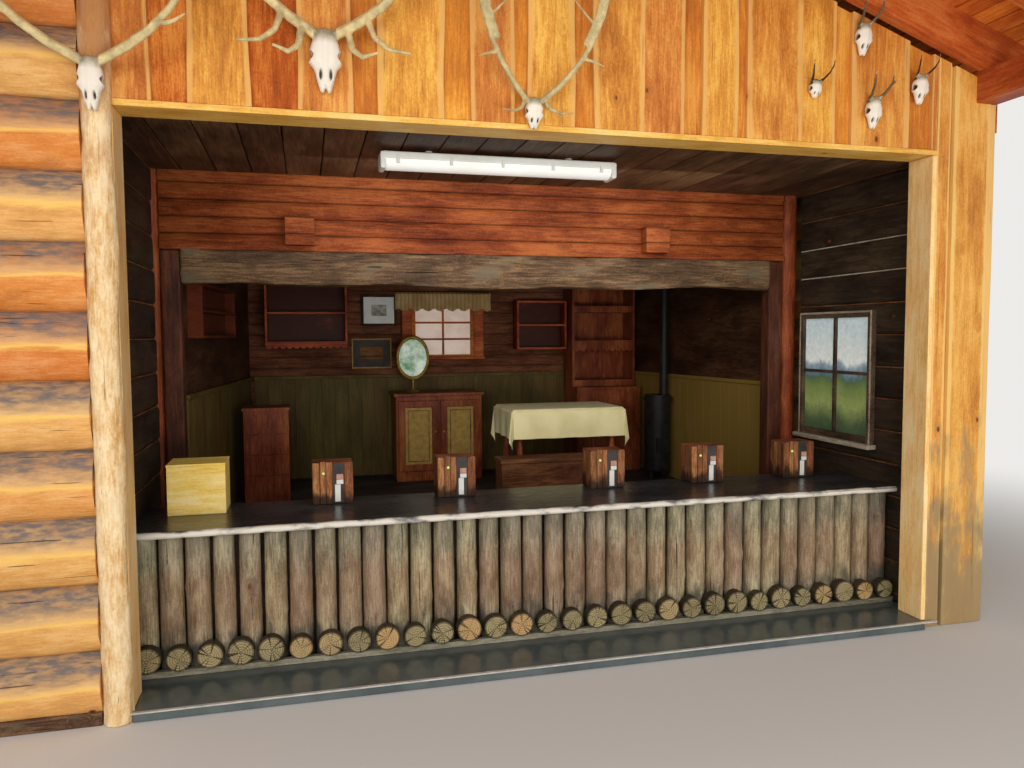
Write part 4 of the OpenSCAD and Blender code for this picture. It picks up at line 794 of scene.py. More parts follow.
# Prints on paper: grey tones for one, brown black for the other
PICTURE = Mottled("picture_toned_print", base="#b8b4a4", second="#5d6058", cloud_mm=70, grit_mm=8,
    contrast=0.9, relief_mm=0.1)
PICTURE_DARK = Mottled("picture_dark_print", base="#33281e", second="#1c1712", cloud_mm=60,
    relief_mm=0.1, gloss_rough=0.4)
# A thin gilt moulding, worn dull
PICTURE_EDGE = Mottled("picture_frame_worn_gilt", base="#ae8a4c", second="#7a5a2a", cloud_mm=30,
    grit_mm=4, relief_mm=0.4, gloss_rough=0.45)
# A moulding under nearly black stain, round off-white card
FRAME_DARK = Timber("picture_frame_dark", dark="#1e130b", mid="#3a261a", light="#573a26", band_mm=14,
    cracks=0.0, specular=0.25, gloss_rough=0.5, knots=0.0, grain=Grain.UPWARD)
MOUNT_CARD = Mottled("picture_mount_card", base="#e6e6e0", second="#d3d2c8", gloss_rough=0.8)
# Oil paint on board: flat bands with brush marks, and a faint glow that is painted light, to brighten it in
# the shade
VIEW = PaintedView("painted_panel", gloss_rough=0.5, relief_mm=0.4, glow=0.3)
# Rough-sawn window timber: bare and grey at its waney edges, brown on its faces
FRAME_WOOD = Timber("window_frame_rough_pale", dark="#6b5d4b", mid="#978772", light="#b7a892",
    band_mm=12, gloss_rough=0.7, knots=0.1, grain=Grain.INWARD)
FRAME_BROWN = Timber("window_frame_rough_brown", dark="#2b2018", mid="#48382b", light="#6d5a48",
    band_mm=12, gloss_rough=0.65, knots=0.1, grain=Grain.INWARD)
# Painted sheet steel: dark, a low shine
BLACK_METAL = Mottled("box_coin_part_dark", base="#4a4542", second="#2c2a29", metallic=0.3,
    gloss_rough=0.4)
# Moulded plates: white and faded red; the light is a small lit lens
PAPER = Mottled("box_plate_white", base="#e4e0d6", second="#cfcabd", gloss_rough=0.5)
PLATE_RED = Mottled("box_plate_faded", base="#c89a88", second="#a8705f", cloud_mm=20, gloss_rough=0.5)
GREEN_LIGHT = Mottled("box_light_green", base="#b8e07c", second="#8fc45c", glow=0.6, gloss_rough=0.2)
# Lime mortar in the joints: pale, sandy and matt
CHINK = Mottled("chinking_pale_mortar", base="#b9ae98", second="#7f7665", cloud_mm=50, relief_mm=1.5,
    gloss_rough=0.85)
# Bleached bone and grown antler: chalk-white skulls, ribbed fawn beams, dark horn
IVORY = Bone("skull_bleached_antler_grown", gloss_rough=0.6, relief_mm=1.0)
# Turned brass: warm yellow with sharp reflections
BRASS = Mottled("knob_brass_turned", base="#b58a42", second="#86622c", metallic=0.9)


def only(*things: Thing) -> None:
    """Selects these objects and nothing else, and makes the first one active."""
    bpy.ops.object.select_all(action="DESELECT")
    for thing in things:
        thing.select_set(True)
    bpy.context.view_layer.objects.active = things[0]


def start(primitive: Callable, **facts: object) -> Thing:
    """Adds a primitive with nothing else selected, and puts its place into its mesh.

    Args:
        primitive: One of the operators that add a mesh.
        facts: Its size and place.

    Returns:
        The new object, at the origin.
    """
    bpy.ops.object.select_all(action="DESELECT")
    primitive(**facts)
    thing = bpy.context.object
    bpy.ops.object.transform_apply(location=True, rotation=True, scale=True)
    return thing


def pick(thing: Thing, wanted: Callable[[Vector, Vector], bool]) -> int:
    """In edit mode, selects the faces whose middle and normal pass a test.

    Args:
        thing: The object in edit mode.
        wanted: The test, given a face's middle and normal.

    Returns:
        How many faces are selected.
    """
    bpy.ops.mesh.select_mode(type="FACE")
    bpy.ops.mesh.select_all(action="DESELECT")
    mesh = bmesh.from_edit_mesh(thing.data)
    found = [f for f in mesh.faces if wanted(f.calc_center_median(), f.normal)]
    for face in found:
        face.select_set(True)
    bmesh.update_edit_mesh(thing.data)
    return len(found)


def cut_long_edges(thing: Thing, axis: int, cuts: int) -> None:
    """In edit mode, divides the edges that run along an axis.

    Args:
        thing: The object in edit mode.
        axis: The number of the axis.
        cuts: How many cuts each edge gets.
    """
    bpy.ops.mesh.select_mode(type="EDGE")
    bpy.ops.mesh.select_all(action="DESELECT")
    mesh = bmesh.from_edit_mesh(thing.data)
    spans = [(e, e.verts[1].co - e.verts[0].co) for e in mesh.edges]
    longest = max(abs(s[axis]) for _, s in spans)
    for edge, span in spans:
        edge.select_set(abs(span[axis]) > 0.5 * longest and abs(span[axis]) > 0.98 * span.length)
    bmesh.update_edit_mesh(thing.data)
    bpy.ops.mesh.subdivide(number_cuts=cuts)


def edit(thing: Thing) -> None:
    """Opens one object in edit mode with all of it selected."""
    only(thing)
    bpy.ops.object.mode_set(mode="EDIT")
    bpy.ops.mesh.select_all(action="SELECT")


def close() -> None:
    """Leaves edit mode."""
    bpy.ops.object.mode_set(mode="OBJECT")


def mark(thing: Thing, name: str, values: Sequence[float], kind: str = "FLOAT") -> None:
    """Gives each vertex a value under a name, which the finishes read.

    Args:
        thing: The piece.
        name: What the value is called.
        values: The values, in the vertices' order.
        kind: FLOAT, or FLOAT_VECTOR for three numbers each.
    """
    layers = thing.data.attributes
    layer = layers.get(name) or layers.new(name, kind, "POINT")
    layer.data.foreach_set("value" if kind == "FLOAT" else "vector", values)


def set_tone(thing: Thing, tone: float) -> Thing:
    """Gives a piece of wood its own tone, from 0 to 1, which also moves its grain, and returns it."""
    mark(thing, "tone", [tone] * len(thing.data.vertices))
    return thing


def modify(thing: Thing, kind: str, **facts: object) -> None:
    """Adds a modifier to a piece and applies it.

    Args:
        thing: The piece.
        kind: The modifier's kind.
        facts: Its settings.
    """
    only(thing)
    change = thing.modifiers.new(kind.lower(), kind)
    for key, value in facts.items():
        setattr(change, key, value)
    bpy.ops.object.modifier_apply(modifier=change.name)


def coat_with(thing: Thing, finish: Finish) -> Thing:
    """Gives a piece one finish all over.

    Args:
        thing: The piece.
        finish: Its finish.

    Returns:
        The piece.
    """
    thing.data.materials.clear()
    thing.data.materials.append(finish.material())
    return thing


def boards(*rows: tuple) -> list[Thing]:
    """One board for each row, which holds what board takes."""
    return [board(*row) for row in rows]


def board(low: Point, high: Point, finish: Finish, arris: float = 0.003, cuts: int = 0,
          tone: float = 0.5) -> Thing:
    """A board or block between two corners, with its arrises broken.

    Args:
        low: Its lowest corner.
        high: Its highest corner.
        finish: Its finish.
        arris: Width of the broken edge.
        cuts: Cuts along its longest side.
        tone: Its tone.

    Returns:
        The board.
    """
    a, b = Vector(low), Vector(high)
    size = b - a
    thing = start(bpy.ops.mesh.primitive_cube_add, size=1, location=(a + b) / 2, scale=size)
    edit(thing)
    bpy.ops.mesh.bevel(offset=min(arris, min(size) * 0.3), segments=2, affect="EDGES")
    if cuts:
        cut_long_edges(thing, max(range(3), key=lambda i: size[i]), cuts)
    close()
    return set_tone(coat_with(thing, finish), tone)


def turned(centre: Point, profile: Sequence[tuple[float, float]], finish: Finish,
           sides: int = 20, tone: float = 0.5) -> Thing:
    """A turned piece: a disc, drawn up ring by ring.

    Args:
        centre: The middle of its lower end.
        profile: Radius and height over the lower end, from the bottom up.
        finish: Its finish.
        sides: Number of its sides.
        tone: Its tone.

    Returns:
        The piece.
    """
    radius, height = profile[0]
    base = Vector(centre)
    thing = start(bpy.ops.mesh.primitive_circle_add, vertices=sides, radius=radius, fill_type="NGON",
        location=base + Vector((0, 0, height)))
    edit(thing)
    for wide, up in profile[1:]:
        bpy.ops.mesh.extrude_region_move(TRANSFORM_OT_translate={"value": (0, 0, up - height)})
        grow = wide / radius
        bpy.ops.transform.resize(value=(grow, grow, 1), center_override=base + Vector((0, 0, up)))
        radius, height = wide, up
    bpy.ops.mesh.select_all(action="SELECT")
    bpy.ops.mesh.normals_make_consistent(inside=False)
    close()
    smooth(thing)
    return set_tone(coat_with(thing, finish), tone)


def smooth(thing: Thing, degrees: float = 40.0) -> Thing:
    """Shades a piece smooth, apart from its sharp edges."""
    only(thing)
    bpy.ops.object.shade_smooth_by_angle(angle=math.radians(degrees))
    return thing


def round_ends(thing: Thing, width: float, segments: int) -> None:
    """In edit mode, rounds the ends of a piece that lies along X, and leaves edit mode."""
    pick(thing, lambda middle, normal: abs(normal.x) > 0.9)
    bpy.ops.mesh.bevel(offset=width, segments=segments, affect="EDGES")
    close()


def copy_of(thing: Thing, move: Optional[Matrix] = None) -> Thing:
    """A copy with its own mesh.

    Args:
        thing: What is copied.
        move: Where the copy goes, or None to leave it in place.

    Returns:
        The copy.
    """
    twin = thing.copy()
    twin.data = thing.data.copy()
    bpy.context.scene.collection.objects.link(twin)
    if move is not None:
        twin.data.transform(move)
    return twin


def drop(*things: Thing) -> None:
    """Removes patterns that were only copied from."""
    for thing in things:
        bpy.data.objects.remove(thing)


def joined(things: Sequence[Thing]) -> Thing:
    """Joins pieces into one.

    Args:
        things: The pieces.

    Returns:
        The one piece.
    """
    if len(things) > 1:
        only(*things)
        bpy.ops.object.join()
    return things[0]


def roughen(thing: Thing, strength: float, size: float, stretch: Point = (1, 1, 1)) -> Thing:
    """Makes a surface uneven with a clouded field, applied at once.

    Args:
        thing: The piece, divided finely enough.
        strength: Height from the lowest to the highest place.
        size: Size of one hollow.
        stretch: How much longer the hollows are in each direction.

    Returns:
        The piece.
    """
    hollows = bpy.data.textures.new("hollows", "CLOUDS")
    hollows.noise_scale = size
    guide = bpy.data.objects.new("guide", None)
    guide.scale = stretch
    bpy.context.scene.collection.objects.link(guide)
    bpy.context.view_layer.update()
    modify(thing, "DISPLACE", texture=hollows, texture_coords="OBJECT", texture_coords_object=guide,
        strength=strength, mid_level=0.5)
    bpy.data.objects.remove(guide)
    bpy.data.textures.remove(hollows)
    return thing


def trimmed(thing: Thing, place: Point, normal: Point) -> Thing:
    """Cuts away what lies beyond a plane and closes the cut.

    Args:
        thing: The piece.
        place: A point on the plane.
        normal: The direction of the side that goes.

    Returns:
        The piece.
    """
    edit(thing)
    bpy.ops.mesh.bisect(plane_co=place, plane_no=normal, use_fill=True, clear_outer=True)
    close()
    return thing


@dataclass
class Stock:
    """One modelled board, from which the others are cut to size with their arrises kept."""

    axis: int
    arris: float = 0.004
    cuts: int = 10
    waver: float = 0.0
    seed: int = 1
    pattern: Optional[Thing] = None
    rng: random.Random = field(init=False)

    def __post_init__(self) -> None:
        """Models the board as a block of one metre."""
        self.rng = random.Random(self.seed)
        self.pattern = board((-0.5, -0.5, -0.5), (0.5, 0.5, 0.5), DARK, self.arris)
        edit(self.pattern)
        cut_long_edges(self.pattern, self.axis, self.cuts)
        close()

    def cut(self, low: Point, high: Point, finish: Finish, tone: Optional[float] = None) -> Thing:
        """One board between two corners.

        Args:
            low: Its lowest corner.
            high: Its highest corner.
            finish: Its finish.
            tone: Its tone, or None for one of its own.

        Returns:
            The board.
        """
        twin = copy_of(self.pattern)
        phase = self.rng.uniform(0, 100)
        across = [i for i in range(3) if i != self.axis]
        wide = max(across, key=lambda i: high[i] - low[i])
        sides = [2 * vertex.co[wide] for vertex in twin.data.vertices]
        keep = 0.5 - self.arris * 1.01
        for vertex in twin.data.vertices:
            point = [0.0, 0.0, 0.0]
            for i in range(3):
                share = vertex.co[i]
                size = high[i] - low[i]
                inset = min(0.5 - abs(share), size * 0.3)
                point[i] = (low[i] + high[i]) / 2 + (math.copysign(size / 2 - inset, share)
                    if abs(share) > keep else share * size)
            if self.waver:
                for n, i in enumerate(across):
                    wave = noise.noise(Vector((point[self.axis] * 2.1, phase + 9 * n,
                        3.0 * math.copysign(1, vertex.co[i]))))
                    point[i] += self.waver * wave * (0.25 if n else 1.0)
            vertex.co = point
        mark(twin, "across", sides)
        return set_tone(coat_with(twin, finish), self.rng.random() if tone is None else tone)

    def done(self) -> None:
        """Removes the board that the others were cut from."""
        drop(self.pattern)


def remeshed(node: str, grain: float) -> Thing:
    """A copy of a CAD node with an even, closed mesh that can be roughened.

    Args:
        node: The node.
        grain: The size of the new faces.

    Returns:
        The copy, which no longer belongs to the node.
    """
    twin = copy_of(bpy.data.objects[node])
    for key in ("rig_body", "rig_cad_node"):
        if key in twin:
            del twin[key]
    twin.parent = None
    edit(twin)
    bpy.ops.mesh.remove_doubles(threshold=1e-5)
    close()
    modify(twin, "REMESH", mode="VOXEL", voxel_size=grain)
    return twin


def finished(thing: Thing, name: str, nodes: Sequence[str] = ()) -> Thing:
    """Names a piece, lets it ride on the hut, and says what it stands for.

    Args:
        thing: The piece.
        name: Its name.
        nodes: The CAD nodes that it stands for.

    Returns:
        The piece.
    """
    thing.name = name
    thing.data.name = name
    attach(thing, BODY)
    if nodes:
        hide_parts(*nodes)
    LOG.info("%s: %d faces", name, len(thing.data.polygons))
    return thing


def carried(node: str, finish: Finish, arris: float = 0.004) -> None:
    """Finishes a CAD node that stays, with its arrises broken.

    Args:
        node: Its name.
        finish: Its finish.
        arris: Width of the broken edge.
    """
    thing = bpy.data.objects[node]
    coat_with(thing, finish)
    weld = thing.modifiers.new("weld", "WELD")
    weld.merge_threshold = 1e-5
    if arris:
        bevel = thing.modifiers.new("arris", "BEVEL")
        bevel.width = arris
        bevel.segments = 2
        bevel.limit_method = "ANGLE"
        bevel.angle_limit = math.radians(35)
    LOG.info("%s keeps its solid", node)


@dataclass
class Front:
    """The boarded gable, the linings, the pier and the hewn post round the opening."""

    widths_mm: tuple[int, ...] = (138, 172, 231, 221, 215, 137, 282, 141, 191, 83, 214, 122, 240, 214,
        121, 173, 73, 296, 197, 122, 338, 174)
    recessed: tuple[int, ...] = (1, 3, 5, 7, 9, 11, 14, 16, 19, 21)
    reddest: tuple[int, ...] = (1, 3)
    back_step: float = 0.024
    lap: float = 0.012
    deep_lap: float = 0.030
    board_t: float = 0.030
    deep_t: float = 0.028
    backing: float = 0.060
    lining_t: float = 0.028
    # The pier: the joints between its boards, their depths, and the thickness of what carries them
    bark_x: tuple[float, float] = (0.084, 0.110)
    strip_w: float = 0.036
    pier_depths: tuple[float, ...] = (0.0, 0.022, 0.0, 0.004)
    pier_t: float = 0.055

    def gable(self, node: str, name: str, out: int) -> None:
        """Boards of uneven width with waney edges, every other one set back.

        Args:
            node: The gable's node.
            name: The piece's name.
            out: The way that its face looks: -1 for the front and 1 for the back.
        """
        low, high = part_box(node)
        stock = Stock(axis=2, arris=0.005, cuts=24, waver=0.012, seed=4)
        spare = (high.x - low.x - sum(self.widths_mm) * MM) / 2
        joints = [low.x]
        x = low.x + spare
        for width in self.widths_mm:
            joints.append(x)
            x += width * MM
        joints += [x, high.x]
        top = high.z
        planks = []
        for k, (a, b) in enumerate(zip(joints, joints[1:])):
            deep = (k - 1) in self.recessed
            finish = GABLE_RED if (k - 1) in self.reddest else GABLE_DEEP if deep else GABLE_WIDE
            face = (low if out < 0 else high).y - out * (self.back_step if deep else 0.0)
            behind = face - out * (self.deep_t if deep else self.board_t)
            reach = self.deep_lap if deep else self.lap
            planks.append(stock.cut((max(low.x, a - reach), min(face, behind), low.z),
                (min(high.x, b + reach), max(face, behind), top), finish))
        stock.done()
        near, far = (self.backing, 0.0) if out < 0 else (0.0, self.backing)
        backing = board((low.x, low.y + near, low.z), (high.x, high.y - far, top), DARK, cuts=1)
        whole = joined([*planks, backing])
        slope = math.tan(ROOF_ANGLE)
        for side in (-1, 1):
            trimmed(whole, (0, 0, high.z - 0.002), (side * slope, 0, 1))
        finished(whole, name, [node])

    def pier(self) -> None:
        """A narrow board, a wide one and a corner strip, with a bark edge between them."""
        low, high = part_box("right_pier")
        stock = Stock(axis=2, arris=0.004, cuts=20, waver=0.005, seed=9)
        joints = [low.x, *(low.x + x for x in self.bark_x), high.x - self.strip_w, high.x]
        behind = low.y + self.pier_t
        planks = [stock.cut((a, low.y + d, low.z), (b - 0.002, behind, high.z), PIER)
            for a, b, d in zip(joints, joints[1:], self.pier_depths)]
        planks.append(stock.cut((low.x, behind, low.z), (high.x, high.y, high.z), PIER))
        stock.done()
        whole = joined(planks)
        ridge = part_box("front_gable")[1].z
        trimmed(whole, (0, 0, ridge - 0.002), (math.tan(ROOF_ANGLE), 0, 1))
        finished(whole, "pier_boards", ["right_pier"])

    def post(self) -> None:
        """The hewn post, with the marks of the axe in its face."""
        low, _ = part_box("hewn_post")
        twin = remeshed("hewn_post", 0.011)
        roughen(twin, 0.012, 0.05, (1, 1, 5))
        roughen(twin, 0.006, 0.02, (1, 1, 2.5))
        trimmed(twin, (0, 0, low.z + 0.002), (0, 0, -1))
        smooth(set_tone(coat_with(twin, HEWN), 0.5), 60)
        finished(twin, "hewn_post_face", ["hewn_post"])

    def lining(self) -> None:
        """Planed boards on both sides of the opening and over its head."""
        low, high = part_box("opening_lining")
        head = high.z - self.lining_t
        parts = [board((a, low.y, low.z), (a + self.lining_t, high.y, head - 0.002), LINING, 0.003, 12,
            tone) for a, tone in ((low.x, 0.3), (high.x - self.lining_t, 0.7))]
        parts.append(board((low.x, low.y, head), high, LINING_HEAD, 0.003, 20))
        finished(joined(parts), "opening_lining_boards", ["opening_lining"])

    def build(self) -> None:
        """Builds the front."""
        self.gable("front_gable", "gable_boards", -1)
        self.gable("back_gable", "back_gable_boards", 1)
        self.pier()
        self.post()
        self.lining()
        carried("corner_posts", PIER)


@dataclass(frozen=True)
class Head:
    """One skull on the wall: its crown, its size, and how dark its horns are."""

    crown: Point
    length: float
    width: float
    rise: float
    dark: float = 0.0

    def depth(self) -> float:
        """How far the skull stands out from the wall."""
        return 0.62 * self.width

    def places(self, point: Vector) -> tuple[float, float, float]:
        """A point as shares: across the skull from its middle, out from the wall, and down to the nose."""
        return ((point.x - self.crown[0]) / self.width, (self.crown[1] - point.y) / self.width,
            (self.crown[2] - point.z) / self.length)

    def reach(self, point: Vector) -> float:
        """How far a point lies from the middle of the mount, against its rise."""
        return (point - Vector(self.crown)).length / self.rise


@dataclass
class Trophies:
    """Skulls with antlers on the post and the gable."""

    heads: tuple[Head, ...] = (Head((-1.8555, -1.63, 2.777), 0.208, 0.117, 0.5),
        Head((-0.931, -1.57, 2.975), 0.26, 0.156, 0.5), Head((0.019, -1.57, 2.755), 0.13, 0.104, 0.62,
        0.15), Head((1.81, -1.57, 3.259), 0.155, 0.105, 0.12, 0.85), Head((1.88, -1.57, 2.887), 0.155,
        0.105, 0.12, 0.85), Head((1.531, -1.57, 2.952), 0.078, 0.081, 0.105, 1.0),
        Head((2.169, -1.57, 3.025), 0.147, 0.105, 0.105, 1.0))
    grain: float = 0.0048
    socket: Point = (0.40, 0.28, 0.38)
    slot: Point = (0.14, 0.36, 0.68)

    def carve(self, head: Head, point: Vector) -> tuple[Vector, float]:
        """Presses the eye sockets, the nasal slots and the notch of the nose into a skull.

        Args:
            head: The skull.
            point: A point of its surface.

        Returns:
            Where the point goes, and how hollow it is, from 0 to 1.
        """
        across, out, down = head.places(point)
        side = math.copysign(1, across)
        eye = math.hypot((down - self.socket[2]) * head.length / (0.17 * head.width),
            (out - self.socket[1]) / 0.2)
        eye = max(0.0, 1 - eye) if abs(across) > 0.30 else 0.0
        nose = max(0.0, 1 - math.hypot((abs(across) - self.slot[0]) / 0.055,
            (down - self.slot[2]) / 0.1)) if out > 0.12 else 0.0
        notch = max(0.0, 1 - abs(across) / 0.07) * max(0.0, min(1.0, (down - 0.84) / 0.08))
        ridge = max(0.0, 1 - abs(across) / 0.10) * (0.1 < down < 0.8)
        move = Vector((-side * 0.20 * head.width * min(1.0, eye * 1.8), 0, 0))
        move.y += 0.07 * head.width * min(1.0, nose * 2.0) - 0.025 * head.width * ridge
        move.z += 0.10 * head.length * notch
        return point + move, max(min(1.0, eye * 2.4), min(1.0, nose * 2.2))

    def build(self) -> None:
        """Builds all of them in place of their node."""
        twin = remeshed("antler_mounts", self.grain)
        modify(twin, "SMOOTH", factor=0.5, iterations=5)
        names = ("bone", "dark", "tip", "hollow", "crown")
        values = {name: [] for name in names}
        for vertex in twin.data.vertices:
            head = min(self.heads, key=lambda h: h.reach(vertex.co) * h.rise / (h.rise + 0.1))
            across, out, down = head.places(vertex.co)
            inside = abs(across) < (0.56 if down > 0.12 else 0.30) and -0.16 < down < 1.1 and out < 0.62
            hollow = 0.0
            if inside:
                vertex.co, hollow = self.carve(head, vertex.co)
            high = (vertex.co.z - head.crown[2]) / head.rise
            values["bone"].append(1.0 if inside and down > -0.1 else 0.0)
            values["dark"].append(head.dark)
            values["tip"].append(max(0.0, min(1.0, (high - 0.82) / 0.15)) * 0.9)
            values["hollow"].append(hollow)
            values["crown"].append(max(0.0, min(1.0, (0.2 - down) / 0.15)))
        for name in names:
            mark(twin, name, values[name])
        roughen(twin, 0.003, 0.02)
        smooth(coat_with(twin, IVORY), 80)
        finished(twin, "skulls_with_antlers", ["antler_mounts"])


@dataclass
class LogWall:
    """One wall of logs, each with its own uneven face."""

    side: Side
    finish: Finish
    pitch: float = 0.292
    first: float = 0.02
    bulge: float = 0.07
    seed: int = 5

    def build(self) -> None:
        """Builds the wall in place of its node."""
        node = self.side.name.lower() + "_logs"
        low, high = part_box(node)
        along = 0 if self.side in (Side.FRONT, Side.BACK) else 1
        length = high[along] - low[along]
        radius = (self.pitch ** 2 / 4 + self.bulge ** 2) / (2 * self.bulge)
        rng = random.Random(self.seed)
        cuts = max(20, int(length / 0.06))
        proto = start(bpy.ops.mesh.primitive_cylinder_add, vertices=40, radius=radius, depth=length,
            rotation=(0, math.pi / 2, 0))
        edit(proto)
        cut_long_edges(proto, 0, cuts)
        bpy.ops.mesh.select_all(action="SELECT")
        bpy.ops.mesh.bisect(plane_co=(0, -radius + 0.17, 0), plane_no=(0, 1, 0), use_fill=True,
            clear_outer=True)
        for sign in (-1, 1):
            bpy.ops.mesh.select_all(action="SELECT")
            bpy.ops.mesh.bisect(plane_co=(0, 0, sign * (self.pitch / 2 + 0.004)), plane_no=(0, 0, sign),
                use_fill=True, clear_outer=True)
        close()
        logs = []
        count = math.ceil((high.z - self.first) / self.pitch)
        for k in range(count):
            lift = Matrix.Translation((rng.uniform(-40, 40), radius, self.first
                + (k + 0.5) * self.pitch))
            log = copy_of(proto, lift)
            roughen(log, 0.014, 0.09, (4.5, 1, 1))
            roughen(log, 0.006, 0.02, (7, 1, 1))
            log.data.transform(Matrix.Translation((-lift.translation.x, 0, 0)))
            logs.append(set_tone(log, rng.random()))
        drop(proto)
        whole = joined([coat_with(log, self.finish) for log in logs])
        middle = (low + high) / 2
        face = {Side.FRONT: (middle.x, low.y, 0), Side.BACK: (middle.x, high.y, 0),
            Side.LEFT: (low.x, middle.y, 0), Side.RIGHT: (high.x, middle.y, 0)}[self.side]
        whole.data.transform(Matrix.Translation(face) @ Matrix.Rotation(self.side.value, 4, "Z"))
        trimmed(whole, (0, 0, max(low.z, 0.06)), (0, 0, -1))
        if self.side is Side.FRONT:
            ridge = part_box("front_gable")[1].z
            trimmed(whole, (0, 0, ridge - 0.002), (-math.tan(ROOF_ANGLE), 0, 1))
        else:
            trimmed(whole, (0, 0, high.z), (0, 0, 1))
        smooth(whole, 50)
        finished(whole, node + "_faces", [node])


@dataclass
class Roof:
    """Soffit boards, shingles, ridge boards, rafters and barge boards."""

    board_w: float = 0.105
    board_t: float = 0.024
    groove: float = 0.003
    shingle_w: float = 0.115
    shingle_show: float = 0.165
    shingle_l: float = 0.36
    shingle_t: float = 0.011
    shingle_tilt: float = -0.028
    edge_in: float = 0.012
    seed: int = 21

    def on_slope(self, side: int, lift: float) -> Matrix:
        """The place of a slope: X runs down it, Z stands square to it.

        Args:
            side: 1 for the right slope and -1 for the left one.
            lift: Height over the ridge line of the rafters' underside.

        Returns:
            The matrix that lays a flat piece on the slope.
        """
        ridge = Matrix.Translation((0, 0, lift))
        tilt = Matrix.Rotation(ROOF_ANGLE, 4, "Y")
        return (Matrix.Identity(4) if side > 0 else Matrix.Scale(-1, 4, (1, 0, 0))) @ ridge @ tilt

    def deck(self) -> None:
        """Boards that run along the roof, with a groove between them below."""
        low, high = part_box("roof_deck")
        run = high.x / math.cos(ROOF_ANGLE)
        stock = Stock(axis=1, arris=0.003, cuts=2, seed=self.seed)
        planks = []
        count = int(run / self.board_w)
        for side in (-1, 1):
            for k in range(count):
                a, b = 0.004 + k * run / count, (k + 1) * run / count - self.groove
                piece = stock.cut((a, low.y, -self.board_t), (b, high.y, 0.0), DECK)
                piece.data.transform(self.on_slope(side, high.z - 0.001))
                if side < 0:
                    piece.data.flip_normals()
                planks.append(piece)
        stock.done()
        finished(joined(planks), "roof_boards", ["roof_deck"])

    def shingles(self) -> None:
        """Split shingles in courses, each with its own width and tone."""
        rng = random.Random(self.seed + 1)
        low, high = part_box("shingles")
        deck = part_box("roof_deck")[1].z
        run = high.x / math.cos(ROOF_ANGLE)
        stock = Stock(axis=0, arris=0.003, cuts=1, seed=self.seed + 2)
        courses = math.ceil(run / self.shingle_show)
        pieces = []
        for side in (-1, 1):
            for row in range(courses):
                foot = run - self.edge_in - row * self.shingle_show
                head = max(0.0, foot - self.shingle_l)
                y = low.y - (row % 2) * self.shingle_w / 2
                while y < high.y - 0.01:
                    width = self.shingle_w * rng.uniform(0.75, 1.3)
                    a, b = max(low.y, y), min(high.y, y + width - 0.004)
                    y += width
                    if b - a < 0.02:
                        continue
                    end = foot - rng.uniform(0, 0.012)
                    piece = stock.cut((head, a, 0), (end, b, self.shingle_t), SHINGLE)
                    tilt = Matrix.Rotation(self.shingle_tilt, 4, "Y")
                    hinge = Matrix.Translation((head, 0, 0.001))
                    piece.data.transform(hinge @ tilt @ hinge.inverted())
                    pieces.append((side, piece))
        stock.done()
        for side, piece in pieces:
            piece.data.transform(self.on_slope(side, deck + 0.001))
            if side < 0:
                piece.data.flip_normals()
        finished(joined([p for _, p in pieces]), "roof_shingles", ["shingles"])

    def build(self) -> None:
        """Builds the roof."""
        self.deck()
        self.shingles()
        carried("ridge_cap", SHINGLE)
        carried("rafters", ROOF_RED)
        carried("barge_boards", ROOF_RED)
        carried("eave_beams", BEAM_RED)
        carried("ridge_beam", BEAM_RED)


